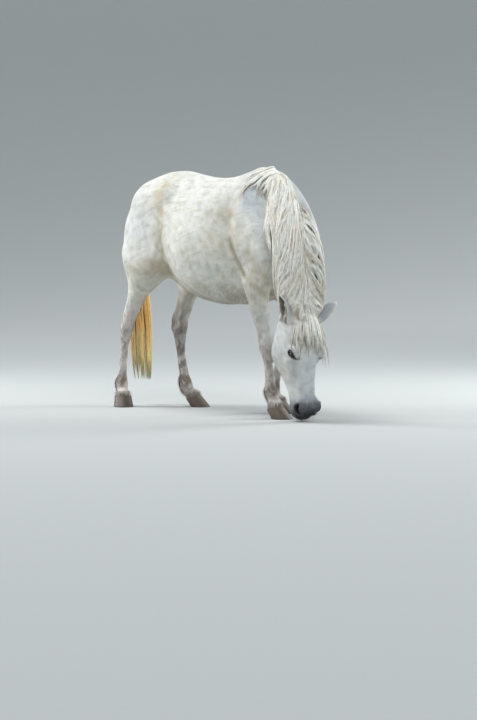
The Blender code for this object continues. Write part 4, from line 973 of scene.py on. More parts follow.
def locks(name, sheet, outs, reach, strands, seed, lock_count, colour_of=mane_colour, slot="mane",
          wide=0.0012, deep=0.0006, points=10, depth=0.012, wave=0.006, gather=0.85, tips=(0.80, 1.06),
          begin=0.0, top=0.0):
    """A piece of long hair: strands over a sheet, reach giving each root's length as a share of the
    sheet.  Strands belong to locks; a strand starts at its own root and closes on its lock's line
    toward the tip, and again on a smaller tress inside the lock, with a slight wave of its own.  Roots
    lie in the first share of the sheet that begin gives, and the uppermost strands stand top above it."""
    rng = np.random.default_rng(seed)
    edges = np.sort(np.concatenate([[0, 1], rng.uniform(0, 1, lock_count - 1)]))
    edges = (edges + np.linspace(0, 1, lock_count + 1)) / 2
    root = rng.uniform(0, 1, strands)
    lock = np.clip(np.searchsorted(edges, root) - 1, 0, lock_count - 1)
    width, lock_middle = np.diff(edges), (edges[:-1] + edges[1:]) / 2
    wide_here, middle_here = width[lock], lock_middle[lock]
    # a tress at every fifth of the lock's width, numbered from -3 to 3
    step = np.round((root - middle_here) / wide_here * 5)
    tress = step / 5 * wide_here + middle_here
    lock_long = rng.uniform(tips[0], tips[1], lock_count)
    lock_line = middle_here + (rng.normal(0, 0.35, lock_count) * width)[lock]
    lock_phase, lock_layer = rng.uniform(0, 6.28, lock_count), rng.uniform(0, 1, lock_count)
    tress_number = step.astype(int) + 3 + lock * 7
    tress_long = rng.uniform(0.80, 1.0, lock_count * 7 + 14)[tress_number]
    tress_layer = rng.normal(0, 0.5, lock_count * 7 + 14)[tress_number]
    lengths = lock_long[lock] * tress_long * rng.uniform(0.88, 1.02, strands)
    s = np.linspace(0, 1, points)[None, :] ** 1.4
    pull = gather * smooth_step(0.05, 1.0, s) ** 0.8
    at = root[:, None] + (tress - root)[:, None] * 0.75 * smooth_step(0.0, 0.55, s)
    at = at + (lock_line - tress)[:, None] * pull
    along = s * (lengths * np.interp(root, np.linspace(0, 1, len(reach)), reach))[:, None]
    along = along + begin * rng.uniform(0, 1, strands)[:, None]
    at = np.clip(at + rng.normal(0, 0.0015, strands)[:, None] * s, 0, 1)
    path, out = read_sheet(sheet, at, along), unit(read_sheet(outs, at, along))
    aside = np.cross(unit(np.gradient(path, axis=1)), out)
    offset = np.abs((at - lock_line[:, None]) / wide_here[:, None])
    crown = np.sqrt(np.clip(1 - (2 * offset) ** 2, 0, 1))
    layer = rng.uniform(0, 1, strands) ** 0.6
    height = (0.35 * lock_layer[lock] + 0.25 * np.clip(tress_layer, -1, 1) + 0.4 * layer)[:, None]
    lift = depth * (height - 0.80) + 0.6 * depth * (crown - 1) * s + top
    lift = np.maximum(lift, -0.75 * depth)
    swing = wave * np.sin(2.2 * math.pi * s + lock_phase[lock][:, None]) * s
    swing += 0.35 * wave * np.sin(5.1 * math.pi * s + (root * 900)[:, None] % 6.28) * s
    swing += rng.normal(0, 0.0012, strands)[:, None]
    path = path + out * lift[..., None] + aside * swing[..., None]
    # the colour follows how high a strand lies: painted light on the higher strands, painted shade on the
    # deeper
    high = np.clip(0.55 * layer + 0.45 * (0.5 + 0.6 * tress_layer), 0, 1)

    def tone(which, share, luck, crown, places):
        """The hair's own colour at each point of each strand."""
        return colour_of(root[which], share, high[which], luck[which], crown, places)

    combed(name, slot, rng, path, out, s, 0.12, wide, deep, crown, tone)


def underlay(name, node, sink, colour, slot, drawn=None):
    """The mass of hair under the strands: the hair solid's own form drawn in by a few millimetres, and
    drawn further by a function if one is given.  Gives the form."""
    form = Field(*solid([node]), 0.006, 0.042, 1)
    inner, quads = surface(form.values, form.corner, form.spacing, -sink)
    inner = drawn(inner) if drawn else inner
    mesh = bpy.data.meshes.new(name)
    mesh.from_pydata(inner.tolist(), [], quads.tolist())
    lay_map(mesh, map_place(inner)[corners_of(mesh)])
    streak = soft_noise(inner * [1, 1, 0.15], 0.011, 61)[:, None]
    paint(mesh, np.clip(colour * (1 + 0.22 * streak), 0, 1))
    piece(name, mesh, hair_look, slot, node)
    return form


CREST_ROWS = 150
crest = read_rows(CREST, 0.05 + 0.93 * np.linspace(0.0, 1.0, CREST_ROWS))
to_left = unit(np.cross([0, 0, 1], unit(np.gradient(crest, axis=0))))
down = np.array([0.0, 0.0, -1.0])
DROP_STEP, DROPS = 0.011, 44       # one row of the hair's sheet to the next, and how many

# side, which way it is, where along the crest its hair starts, how far ahead the hair drifts as it falls
# at its first and last root, strands and locks
hair_forms = {}
for side, sign, start, ahead_by, strands, lock_count in (
        ("right", -1, 0.03, (0.105, 0.012), 1900, 28), ("left", 1, 0.36, (0.060, 0.010), 1500, 20)):
    # the mass under the strands is painted darker than the hair: painted shade seen between the strands
    form = underlay("mane_mass_" + side, "mane_" + side, 0.013, HAIR_MIDDLE * 0.70, "mane")
    hair_forms[side] = form

    def covered(places, form=form):
        """Distance to whichever is nearer outside, the hair's form or the flesh."""
        return np.minimum(form.at(places), flesh_at(places) - 0.002)

    part = slice(int(start * CREST_ROWS), CREST_ROWS)
    roots, aside = crest[part], to_left[part] * sign
    steps = np.arange(-1, DROPS)
    ahead = np.cross(to_left[part], [0, 0, 1])
    drift = np.linspace(*ahead_by, len(roots))[:, None] * (1 - (1 - np.clip(steps / 36, 0, 1)) ** 2)
    starts = roots[:, None] + 0.30 * aside[:, None] + (DROP_STEP * steps)[None, :, None] * down
    starts = starts + drift[..., None] * ahead[:, None]
    sheet, outs = laid_on(covered, starts, -aside[:, None], 0.30)
    # a root's reach: how many steps down until the hair's form ends
    inside = form.at(sheet - outs * 0.008) < 0.002
    reach = np.array([np.max(np.flatnonzero(row), initial=8) for row in inside]) / DROPS
    reach = np.convolve(np.pad(reach, 5, mode="edge"), np.ones(11) / 11, mode="valid")
    locks("mane_side_" + side, sheet, outs, np.clip(reach + 0.03, 0, 1), strands, 100, lock_count,
          wave=0.012, tips=(0.66, 1.08), top=0.002)
# the mass under the strands is painted darker than the hair: painted shade seen between the strands
hair_forms["brow"] = underlay("forelock_mass", "forelock", 0.005, HAIR_MIDDLE * 0.70, "mane")


def hair_or_flesh(places):
    """Distance to whichever is nearest outside: the flesh or any of the hair's forms."""
    forms = [form.at(places) for form in hair_forms.values()]
    return np.minimum.reduce([flesh_at(places) - 0.002] + forms)


def fallen(name, sheet, outs, length, strands, seed, lock_count, widest, top=0.0):
    """Hair that starts all along the crest, the sheet's first row, and swings out to the side as it falls:
    how far across is a share times one less the falling power of e.  Each lock has its own start, share
    and length; its strands and tresses spread in mid length and close at the tip."""
    rng = np.random.default_rng(seed)
    number = np.arange(lock_count)
    start = (number + rng.uniform(0, 1, lock_count)) / lock_count * 0.93
    share = (0.06 + 0.94 * ((number * 0.618 + rng.uniform(0, 0.12, lock_count)) % 1.0)) * widest
    lengths = np.minimum(rng.uniform(0.70, 1.12, lock_count) * length, 1.0 - start)
    lock = rng.integers(0, lock_count, strands)
    tress = lock * 6 + rng.integers(0, 6, strands)
    tress_aside = rng.normal(0, 0.034, lock_count * 6)[tress]
    tress_start = rng.uniform(-0.018, 0.018, lock_count * 6)[tress]
    tress_long = rng.uniform(0.78, 1.03, lock_count * 6)[tress]
    tress_high = rng.uniform(0, 1, lock_count * 6)[tress]
    lock_luck = rng.normal(0, 1, lock_count)[lock]
    aside, ahead = rng.normal(0, 0.008, strands), rng.normal(0, 0.006, strands)
    s = np.linspace(0, 1, 10)[None, :] ** 1.25
    fan = (1 - np.exp(-2.6 * s)) / (1 - math.exp(-2.6))
    opens = np.sin(math.pi * (0.10 + 0.72 * s)) * smooth_step(0, 0.2, s)
    at = share[lock][:, None] * fan + tress_aside[:, None] * opens * 1.25 + aside[:, None] * (opens + 0.25)
    lag = 1 - 0.8 * s
    along = (start[lock][:, None] + (tress_start + ahead)[:, None] * lag
             + s * (lengths[lock] * tress_long * rng.uniform(0.92, 1.02, strands))[:, None])
    at, along = np.clip(at, 0, 1), np.clip(along, 0, 1)
    path, out = read_sheet(sheet, at, along), unit(read_sheet(outs, at, along))
    sideways = np.cross(unit(np.gradient(path, axis=1)), out)
    crown = np.sqrt(np.clip(1 - (aside[:, None] / 0.018) ** 2, 0, 1)) * np.ones_like(s)
    layer = rng.uniform(0, 1, strands) ** 0.6
    lift = -0.009 + 0.004 * layer[:, None] + 0.014 * tress_high[:, None] * smooth_step(0, 0.3, s)
    lift = lift + 0.008 * (crown - 0.55) * opens + 0.004 * (1 - s) + top
    lift = np.maximum(lift, -0.0095)
    phase = rng.uniform(0, 6.28, lock_count)[lock][:, None]
    swing = 0.009 * np.sin(2.4 * math.pi * s + phase) * s + 0.0016 * np.sin(6 * math.pi * s + 5 * phase)
    swing = swing + rng.normal(0, 0.001, (strands, 1))
    path = path + out * lift[..., None] + sideways * swing[..., None]
    # the colour follows how high a strand lies: painted light on the higher strands, painted shade on the
    # deeper
    high = 0.40 * layer + 0.60 * tress_high

    def tone(which, share, luck, crown, places):
        """The mane's colour at each point, with part of a strand's luck shared by its whole lock."""
        return mane_colour(None, share, high[which], (0.7 * luck + 0.6 * lock_luck)[which], crown, places)

    combed(name, "mane", rng, path, out, s, 0.10, 0.0012, 0.0007, crown, tone)


# what is seen of the mane from ahead: hair that swings from the crest out over its edge
# for each side: which way it is, where it starts, how far out, pieces, strands and locks in a piece
for side, sign, start, reach, sets, strands, lock_count in (
        ("right", -1, 0.01, 0.215, 2, 2500, 56), ("left", 1, 0.36, 0.150, 1, 1900, 36)):
    at = np.linspace(start, 1.0, 90)
    line = read_rows(crest, at)
    past = line[-1] + np.arange(1, 13)[:, None] * (0.25 * (line[-1] - line[-4]) / 3 + 0.006 * down)
    aside = np.concatenate([read_rows(to_left, at), np.tile(to_left[-1], (12, 1))]) * sign
    line = np.concatenate([line, past])
    front = unit(np.cross(aside, [0, 0, 1]) * sign)
    front = unit(front + [0, 0, 0.35] * smooth_step(0.45, 0.0, np.linspace(0, 1, len(line)))[:, None])
    share = np.linspace(0, 1, 36)[:, None, None]
    turned = np.radians(75) * share**1.5
    way = -(front[None] * np.cos(turned) + aside[None] * np.sin(turned))
    starts = line[None] + aside[None] * (-0.006 + reach * share) - 0.16 * way
    sheet, outs = laid_on(hair_or_flesh, starts, way, 0.16 + 0.12 * share[..., 0], settle=0.02)
    for number in range(sets):
        fallen(f"mane_{side}_{number}", sheet, outs, 0.42, strands, 110 + number + sign, lock_count, 0.95,
               top=0.002 * number)


def along_line(line, sideways, half_width, away, reading):
    """A sheet over a line of places: rows side by side across it, each traced inward onto the form."""
    above = unit(np.cross(unit(np.gradient(line, axis=0)), sideways))
    across = np.linspace(-1, 1, 24)[:, None, None] * half_width[None, :, None] * sideways[None]
    starts = line[None] + across + away * above[None]
    return laid_on(reading, starts, -above[None], away + 0.03, settle=0.02)


def smoothed(line, times):
    """Each pass takes the 1, 2, 1 mean along a line of places, whose ends stay."""
    for _ in range(times):
        line[1:-1] = (line[:-2] + 2 * line[1:-1] + line[2:]) / 4
    return line


# the crest's own hair: it lies along the top of the neck, over the poll and down between the ears
crest_line = read_rows(CREST, np.linspace(0.42, 0.985, 30))
brow_line = np.array([from_head(b, 0.09, 0.004) for b in np.linspace(0.015, 0.30, 14)])
crest_line = smoothed(np.concatenate([crest_line, brow_line]), 4)
sideways = np.concatenate([read_rows(to_left, np.linspace(0.40, 1.0, 30)), np.tile(head_left, (14, 1))])
sheet, outs = along_line(crest_line, sideways, np.linspace(0.030, 0.052, 44), 0.14, hair_or_flesh)
locks("crest_hair", sheet, outs, np.full(24, 0.36), 1600, 170, 9, begin=0.60, gather=0.5, wave=0.005,
      depth=0.008, top=0.004)

# at the withers a few locks are swept back over the right shoulder
SWEPT = [   # crest row, then the way each group goes from its root, and its number of locks
    (4, [(0, 0, 0.004), (-0.030, -0.035, -0.020), (-0.065, -0.070, -0.060), (-0.090, -0.100, -0.115),
         (-0.095, -0.125, -0.175), (-0.080, -0.150, -0.235)], 5),
    (10, [(0, 0, 0.004), (-0.020, -0.045, -0.030), (-0.035, -0.085, -0.085), (-0.035, -0.115, -0.155),
          (-0.015, -0.140, -0.230), (0.015, -0.160, -0.300)], 7),
]
for number, (row, way, count) in enumerate(SWEPT):
    swept = smoothed(read_rows(crest[row] + np.array(way), np.linspace(0, 1, 30)), 3)
    sideways = unit(np.cross(outward(flesh_at, swept), np.gradient(swept, axis=0)))
    sheet, outs = along_line(swept, sideways, np.linspace(0.040, 0.036, 30), 0.08,
                             lambda p: flesh_at(p) - 0.007)
    locks(f"withers_locks_{number}", sheet, outs, np.full(24, 0.92), 800, 180 + number, count,
          gather=0.72, wave=0.016, depth=0.009, top=0.004, tips=(0.45, 0.98))

# ================================================================ tail
# Long coarse hair from the dock down to the fetlocks, cream outside and stained orange in its middle,
# hanging straight and ending in a blunt fringe.

tail_low, tail_high = (np.array(v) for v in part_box("tail"))
tail_points = solid(["tail"])[0]
heights = np.linspace(tail_high[2] - 0.012, tail_low[2] - 0.045, 60)
nearness = bell(heights[:, None], tail_points[None, :, 2], 0.05)
middle = (nearness @ tail_points) / nearness.sum(1, keepdims=True)
middle[:, 2] = heights


def narrowed(places):
    """The hair's mass narrows to little over half above the fringe and ends short of it, so that only
    strands make the tail's end."""
    line = np.stack([np.interp(-places[:, 2], -heights, middle[:, k]) for k in (0, 1)], -1)
    keep = 0.55 + 0.45 * smooth_step(tail_low[2] + 0.04, tail_low[2] + 0.22, places[:, 2])[:, None]
    return np.concatenate([line + (places[:, :2] - line) * keep, places[:, 2:] + 0.08 * (1 - keep)], 1)


form = underlay("tail_mass", "tail", 0.011, screen(226, 182, 120), "tail", narrowed)
turn = np.linspace(0, 2 * math.pi, 97)
spoke = np.stack([-np.cos(turn), np.sin(turn), 0 * turn], -1)
starts = middle[None] + 0.11 * spoke[:, None]
sheet, outs = laid_on(form.at, starts, -spoke[:, None], 0.105, settle=0.0015)


def tail_colour(root, share, layer, luck, crown, places):
    """Cream at the dock, behind and on the outermost strands, orange in clumps on the inner side, and pale
    again at the tips."""
    clump = 0.5 + 0.5 * np.sin(root * 2 * math.pi * 5 + 2.0 * np.sin(root * 2 * math.pi * 13))
    stain = smooth_step(0.06, 0.35, share) * smooth_step(1.00, 0.76 - 0.12 * clump, share)
    inner = 0.72 + 0.28 * np.cos((root - 0.62) * 2 * math.pi)
    stain = np.clip(stain * (0.50 + 0.55 * clump + 0.22 * luck) * inner, 0, 1)[:, None]
    # higher strands are painted lighter and deeper ones darker: painted light and shade
    tone = HAIR_LIGHT * (0.86 + 0.20 * layer)[:, None] * (1, 0.90, 0.54)
    orange = screen(246, 174, 68) * (0.78 + 0.36 * layer + 0.10 * luck)[:, None]
    return np.clip(tone + (orange - tone) * stain, 0, 1)


locks("tail_hair", sheet, outs, np.full(97, 1.0), 3000, 200, 30, tail_colour, "tail", wide=0.0019,
      deep=0.0010, depth=0.010, wave=0.010, gather=0.12, tips=(0.99, 1.14))

# ================================================================ forelock
# The mane's last locks, that fall between the ears over the forehead to the level of the eyes and below.
# Two layers of strands lie one over the other on a sheet traced back onto the brow.

across = np.linspace(-0.115, 0.180, 80)
share = np.linspace(-0.030, 0.560, 45)
spread = 1 + 0.60 * smooth_step(0.0, 0.5, share)
starts = np.array([[from_head(b, 0.30, a * c) for b, c in zip(share, spread)] for a in across])
sheet, outs = laid_on(hair_or_flesh, starts, -head_ahead[None, None], 0.185)
reach = 0.72 + 0.30 * np.linspace(0, 1, 80) ** 2
for layer in range(2):
    locks(f"forelock_hair_{layer}", sheet, outs, reach, 1300, 300 + layer, 30, wide=0.0011, depth=0.007,
          wave=0.005, gather=0.78, tips=(0.42, 1.12), top=0.003 + 0.002 * layer, points=9)

# ================================================================ short coat
# Summer hair, 6 mm long on face and feet and up to 28 mm low on the body, that lies flat, backward on the
# body and downward on face and limbs.  It is laid over the skin in small overlapping tufts.

corners = skin_points[skin_triangles]
cross = np.cross(corners[:, 1] - corners[:, 0], corners[:, 2] - corners[:, 0])
triangle_area, triangle_out = np.linalg.norm(cross, axis=1) / 2, unit(cross)
triangle_middle = corners.mean(1)
on_head, head_place = is_head(triangle_middle), folded(triangle_middle)
coat_look = coat_material("coat tufts", 0.8, 0.0)


def coat_way(places):
    """The way the hair lies: backward and down on the trunk and neck, parted at the flank, down the face
    and back toward the jaw, and down each limb."""
    x, y, z = places[..., 0], places[..., 1], places[..., 2]
    head, limb = is_head(places), smooth_step(0.80, 0.60, z)
    q, flat = folded(places), np.stack([x, z], -1)
    back = np.stack([-1.0 + 0 * x, 0.25 * np.sign(y), -0.45 - 0.8 * smooth_step(1.15, 0.75, z)], -1)
    back[..., 2] -= 0.9 * near_spot(flat, (-0.45, 0.95), (0.22, 0.35))
    back[..., 0] += 1.5 * near_spot(flat, (-0.26, 0.95), (0.07, 0.16))
    neck_part = smooth_step(0.42, 0.60, x)[..., None]
    back = back * (1 - neck_part) + np.array([-0.45, 0.1, -1.0]) * neck_part
    face = head_down - 0.9 * smooth_step(-0.05, -0.30, q[..., 1])[..., None] * head_ahead
    way = back * (1 - limb)[..., None] + np.array([-0.12, 0, -1.0]) * limb[..., None]
    return way * (1 - head)[..., None] + face * head[..., None]


def scattered(rng, count, weight):
    """Random places on the skin, more where the weight is greater, their outward directions and their
    places on the map."""
    share = np.cumsum(triangle_area * weight)
    chosen = np.searchsorted(share, rng.uniform(0, share[-1], count))
    a, b = rng.uniform(0, 1, (2, count, 1))
    fold = (a + b) > 1
    a, b = np.where(fold, 1 - a, a), np.where(fold, 1 - b, b)
    corner = corners[chosen]
    places = corner[:, 0] + a * (corner[:, 1] - corner[:, 0]) + b * (corner[:, 2] - corner[:, 0])
    return places, triangle_out[chosen], rolled_out(places, region(triangle_middle[chosen]))[0]


def laid_tufts(name, slot, rng, places, outs, spots, lengths, wide, lift, points=5, ways=None, tone=None,
               curl=0.0):
    """A piece of tufts from some places: each runs along the coat's way, or its own, rises by its lift and
    lies down again, and curl lets its end fall."""
    count = len(places)
    way = coat_way(places) if ways is None else ways
    way = way + rng.normal(0, 0.07, way.shape)
    way = unit(way - outs * np.einsum("ij,ij->i", way, outs)[:, None])
    s = np.linspace(0, 1, points)[None, :, None]
    lengths, lift = lengths[:, None, None], lift[:, None, None]
    rise = lift * np.sin(s * 1.9) / math.sin(1.9) if points > 2 else lift * s
    path = (places - outs * 0.0006)[:, None] + way[:, None] * (lengths * s)
    path = path + outs[:, None] * rise + down * (curl * s**2 * lengths)
    path[..., 2] = np.maximum(path[..., 2], 0.0015)
    taper = np.clip(1 - 0.7 * s[..., 0] ** 1.5, 0.1, 1) * np.ones((count, 1))
    *form, share = tufts(path, np.repeat(outs[:, None], points, 1), wide, wide * 0.14, taper, spots)
    tone = markings(places) if tone is None else tone
    tone = np.clip(tone * (1 + rng.normal(0, 0.030, count))[:, None], 0, 1)
    tone = np.repeat(tone, len(share), 0) * (0.93 + 0.10 * np.tile(share, count))[:, None]
    piece(name, hair_mesh(name, *form, np.clip(tone, 0, 1)), coat_look, slot)


bare = smooth_step(1.5, 1.1, lid_ring(head_place)[0]) + smooth_step(1.5, 1.0, nostril_ring(head_place))
bare = np.clip(bare, 0, 1) * on_head
muzzle = on_head * smooth_step(0.80, 0.92, head_place[:, 0])
fine_zone = np.maximum(on_head, smooth_step(0.50, 0.30, triangle_middle[:, 2]))
weight = (0.55 + 1.6 * fine_zone) * (1 - bare) * (1 - 0.75 * muzzle)
for number in range(2):
    rng = np.random.default_rng(500 + number)
    places, outs, spots = scattered(rng, 43000, weight)
    small = np.maximum(is_head(places), smooth_step(0.50, 0.30, places[:, 2]))
    low_body = smooth_step(0.78, 0.64, places[:, 2]) * (1 - small)
    lengths = rng.uniform(0.8, 1.2, len(places)) * (0.018 - 0.011 * small + 0.006 * low_body)
    lift = rng.uniform(0.5, 1.0, len(places)) * (0.0005 + 0.0002 * small + 0.0008 * low_body)
    laid_tufts(f"coat_{number}", "coat", rng, places, outs, spots, lengths, 0.0021 - 0.0012 * small, lift, 2)

# longer hair where the outline shows it: behind the fetlocks, over the hooves' upper edge, and under jaw
# and belly
rng = np.random.default_rng(600)
z, back_of = triangle_middle[:, 2], -triangle_out[:, 0]
feather = smooth_step(0.215, 0.16, z) * smooth_step(0.085, 0.11, z) * smooth_step(0.1, 0.8, back_of)
jaw = smooth_step(-0.26, -0.36, head_place[:, 1]) * smooth_step(0.80, 0.60, head_place[:, 0])
belly = smooth_step(0.5, 0.9, -triangle_out[:, 2]) * (np.abs(triangle_middle[:, 0]) < 0.5)
LONGER = {   # where it grows, tufts, length, half width, lift, slot
    "feather": (feather * (1 - on_head), 2000, 0.038, 0.0012, 0.007, "leg"),
    "coronet_fringe": (smooth_step(0.100, 0.088, z) * (1 - on_head), 2600, 0.030, 0.0014, 0.0050, "leg"),
    "jaw_hair": (jaw * on_head, 1200, 0.018, 0.0009, 0.004, "coat"),
    "belly_hair": (belly * smooth_step(0.70, 0.62, z), 1400, 0.024, 0.0013, 0.004, "coat"),
}
for name, (weight, count, length, half, lift, slot) in LONGER.items():
    places, outs, spots = scattered(rng, count, weight)
    lengths = rng.uniform(0.6, 1.2, count) * length
    wide = half * rng.uniform(0.7, 1.2, count)
    lift = lift * rng.uniform(0.4, 1.2, count)
    laid_tufts(name, slot, rng, places, outs, spots, lengths, wide, lift, curl=0.15)

# in the ears' openings and along their edges, whiskers round the lips and lashes on the upper lids
EAR_HAIRS, WHISKERS, LASHES = 320, 150, 220
places, outs, spots, ways = [], [], [], []
for leaves, slope, up, flat in ear_hair_roots:
    row, column = rng.integers(3, 38, EAR_HAIRS), rng.integers(0, EAR_COLUMNS, EAR_HAIRS)
    side_of = (rng.uniform(0, 1, EAR_HAIRS) < 0.75).astype(int)
    places.append(leaves[side_of, row, column])
    outs.append(slope[row, column] * (2 * side_of - 1)[:, None])
    spots.append(flat[side_of, row, column])
    edgeward = leaves[side_of, row, 0] - leaves[side_of, row, -1]
    edgeward = edgeward * np.sign(EAR_COLUMNS // 2 - column)[:, None]
    ways.append(up + 3.0 * edgeward + 0.3 * outs[-1])
places, outs, spots, ways = (np.concatenate(v) for v in (places, outs, spots, ways))
count = len(places)
tone = screen(222, 217, 206) * rng.uniform(0.72, 1.05, count)[:, None]
laid_tufts("ear_hair", "ear", rng, places, outs, spots, rng.uniform(0.008, 0.020, count),
           np.full(count, 0.0007), rng.uniform(0.001, 0.006, count), ways=ways, tone=tone)

q = in_head(triangle_middle)
chin = smooth_step(0.90, 0.95, q[:, 0]) * (q[:, 1] < -0.06)
chin = chin + 0.5 * near_spot(q, (0.90, -0.22, 0.0), (0.05, 0.04, 0.08))
places, outs, spots = scattered(rng, WHISKERS, chin * on_head)
laid_tufts("whiskers", "coat", rng, places, outs, spots, rng.uniform(0.018, 0.050, WHISKERS),
           np.full(WHISKERS, 0.0004), rng.uniform(0.006, 0.020, WHISKERS),
           ways=outs * 0.8 + head_down * 0.6, tone=screen(120, 112, 106))

ring, above = lid_ring(head_place)
places, outs, spots = scattered(rng, LASHES, on_head * bell(ring, 1.16, 0.07) * (above > 0.004))
laid_tufts("lashes", "coat", rng, places, outs, spots, rng.uniform(0.012, 0.022, LASHES),
           np.full(LASHES, 0.00035), rng.uniform(0.002, 0.007, LASHES),
           ways=0.9 * outs + 0.54 * head_ahead + 0.5 * head_down, tone=screen(196, 190, 180))

# ================================================================ hooves
# Horn boxes that lean forward with the pastern: growth rings round the wall, a soft pale band under the
# hair at the top, rounded heels, and a flat sole that stands on the floor.

horn = marked_material("hoof horn", {"Roughness": 0.5})
horn_grain = vary(horn, 1.0, 4, 0.70, 1.15, stretch=(160, 160, 14))
raise_grain(horn, horn_grain, 0.4, 0.001)

TOE_TALL, HEEL_TALL = 0.078, 0.042
HOOF_HALF_LONG, HOOF_HALF_WIDE = 0.062, 0.057
TOE_SLOPE, LEAN_FROM, SET_BACK = math.tan(math.radians(50)), 0.060, 0.0503   # the wall leans over the sole
GROWTH_RINGS = 7
# round the hoof from the toe, and up its wall
v, u = np.meshgrid(np.linspace(0, 1, 34), np.linspace(0, 2 * math.pi, 65)[:-1], indexing="ij")
x, y = np.cos(u), np.sin(u)
z = v * ((TOE_TALL + HEEL_TALL) / 2 + x * (TOE_TALL - HEEL_TALL) / 2)
growth = np.sin(v * 2 * math.pi * GROWTH_RINGS + 0.6 * np.sin(2 * u))
# narrower toward the top, with round heel bulbs, the cleft between them, rings, a soft upper band and a
# worn lower rim
bulb = 0.05 * bell(v, 0.75, 0.30) * smooth_step(-0.3, -0.95, x)
cleft = 0.10 * bell(y, 0, 0.16) * smooth_step(-0.6, -0.98, x) * smooth_step(0.0, 0.4, v)
ridges = 0.0022 * growth * smooth_step(0.0, 0.1, v) * smooth_step(1, 0.85, v)
swell = 1 + bulb - cleft + ridges + 0.030 * bell(v, 0.94, 0.05) - 0.05 * smooth_step(0.05, 0.0, v)
scale = (1 - 0.20 * z / 0.06 * (0.75 + 0.25 * x)) * swell
rows, around = u.shape
caps = [list(range(around)), list(range(rows * around - 1, (rows - 1) * around - 1, -1))]
hoof_faces = grid_faces(rows, around, closed=True).tolist() + caps
for limb in limb_order:
    foot, bone = solid(["hoof_" + limb])[0], solid(["pastern_" + limb])[0]
    low_middle = foot[foot[:, 2] < 0.001].mean(0)
    top_middle = bone[bone[:, 2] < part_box("pastern_" + limb)[0][2] + 0.030].mean(0)
    toe = unit((low_middle - top_middle)[:2])
    toe_way, side_way = np.array([*toe, 0]), np.array([-toe[1], toe[0], 0])
    ahead = x * HOOF_HALF_LONG * scale + (LEAN_FROM - z) / TOE_SLOPE - SET_BACK
    aside = y * HOOF_HALF_WIDE * (1 - 0.20 * np.maximum(0, -x)) * scale
    wall = np.array([*low_middle[:2], 0]) + ahead[..., None] * toe_way + aside[..., None] * side_way
    wall[..., 2] = z
    made = bpy.data.meshes.new("hoof_wall_" + limb)
    made.from_pydata(wall.reshape(-1, 3).tolist(), [], hoof_faces)
    face_outwards(made)
    # grey brown horn, paler toward the top, darker in the rings' furrows and lighter on their ridges as
    # painted shade and light, with a pale soft band
    share = v.ravel()[:, None]
    tone = screen(72, 62, 52) * (1 - share) + screen(104, 89, 72) * share
    tone = tone * (0.62 if limb == "hind_right" else 1) * (1 + 0.08 * growth.ravel()[:, None])
    tone = tone + (screen(150, 136, 118) - tone) * 0.6 * bell(share, 0.96, 0.05)
    paint(made, np.clip(tone, 0, 1))
    piece("hoof_wall_" + limb, made, horn, "hoof", "hoof_" + limb)

# ================================================================ floor, light and camera
# A plain pale studio: a wide matt floor that bends up into a low round wall, an even pale sky, broad soft
# suns above and before the pony, and two lamps behind it that edge the back and mane with light.

# of the way out from the middle, 0.4 is floor, the next 0.35 the bend and the last 0.25 the wall
FLOOR_FAR, WALL_BEND, WALL_TALL = 13, 4, 3
climb, turn = np.meshgrid(np.linspace(0, 1, 40), np.linspace(0, 2 * math.pi, 97)[:-1], indexing="ij")
curve = np.clip((climb - 0.4) / 0.35, 0, 1) * math.pi / 2
reach = FLOOR_FAR * np.clip(climb / 0.4, 0.0, 1) + WALL_BEND * np.sin(curve)
rise = WALL_BEND * (1 - np.cos(curve)) + WALL_TALL * np.clip((climb - 0.75) / 0.25, 0, 1)
bowl = np.stack([reach * np.cos(turn), reach * np.sin(turn), rise], -1)
floor = bpy.data.meshes.new("floor")
floor.from_pydata(bowl.reshape(-1, 3).tolist(), [], grid_faces(*climb.shape, closed=True)[:, ::-1].tolist())
pale = bpy.data.materials.new("pale floor")
pale.use_nodes = True
shader = pale.node_tree.nodes["Principled BSDF"]
shader.inputs["Base Color"].default_value = (*screen(168, 171, 169), 1)
shader.inputs["Roughness"].default_value = 0.95
floor.materials.append(pale)
floor.shade_smooth()
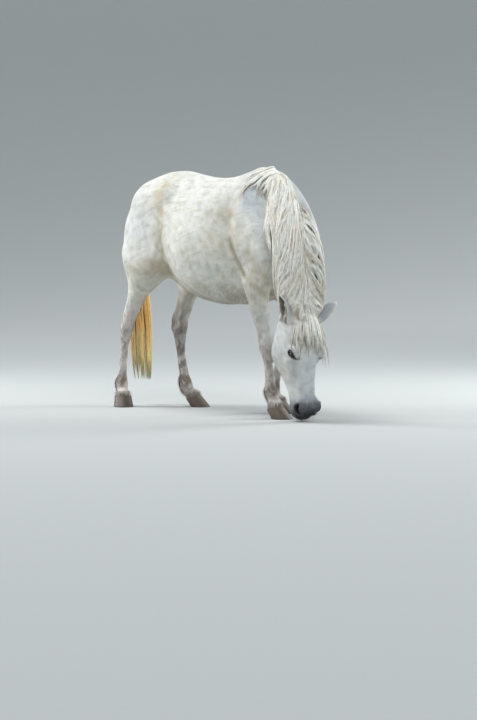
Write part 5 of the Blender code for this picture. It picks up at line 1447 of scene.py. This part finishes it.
ground = placed("floor", floor)

world = bpy.data.worlds.new("studio")
bpy.context.scene.world = world
world.use_nodes = True
sky = world.node_tree.nodes["Background"]
sky.inputs["Color"].default_value = (*screen(208, 216, 226), 1)
sky.inputs["Strength"].default_value = 0.92
bpy.context.scene.view_settings.view_transform = "Standard"


def shine(name, lamp, place, toward=(0, 0, 0)):
    """Sets a lamp at a place, turned toward another."""
    made = placed(name, lamp)
    made.location = place
    made.rotation_euler = (Vector(toward) - Vector(place)).to_track_quat("-Z", "Y").to_euler()


# where a sun's light comes from, how wide it is in degrees, its strength
SUNS = {"above": ((-1.6, -0.6, 4.0), 28, 1.85), "front": ((4.3, -3.4, 4.0), 26, 0.80)}
for name, (place, spread, strength) in SUNS.items():
    lamp = bpy.data.lights.new(name, "SUN")
    lamp.angle, lamp.energy = math.radians(spread), strength
    shine(name, lamp, place)
# a lamp's place, size and power
LAMPS = {"edge": ((-4.4, -2.2, 2.4), 1.6, 150), "far_edge": ((1.6, 4.6, 2.8), 2.0, 190)}
for name, (place, size, watts) in LAMPS.items():
    lamp = bpy.data.lights.new(name, "AREA")
    lamp.size, lamp.energy = size, watts
    shine(name, lamp, place, (0.1, 0, 0.7))

CAMERA_SIDE = math.radians(43)     # off the pony's nose, to its right
CAMERA_FAR, CAMERA_HIGH = 10.0, 0.75
CAMERA_DIP, CAMERA_TURN = math.radians(2.637), math.radians(0.441)   # below level, and off its centre
CAMERA_CENTRE = (-0.0351, 0.0014)  # the point on the floor that the camera is round
camera = bpy.data.cameras.new("camera")
camera.sensor_width, camera.lens = 36, 89.0
camera.clip_end = 200
viewer = placed("camera", camera)
viewer.location = (CAMERA_CENTRE[0] + CAMERA_FAR * math.cos(CAMERA_SIDE),
                   CAMERA_CENTRE[1] - CAMERA_FAR * math.sin(CAMERA_SIDE), CAMERA_HIGH)
viewer.rotation_euler = (math.pi / 2 - CAMERA_DIP, 0, math.pi / 2 - CAMERA_SIDE - CAMERA_TURN)
bpy.context.scene.camera = viewer
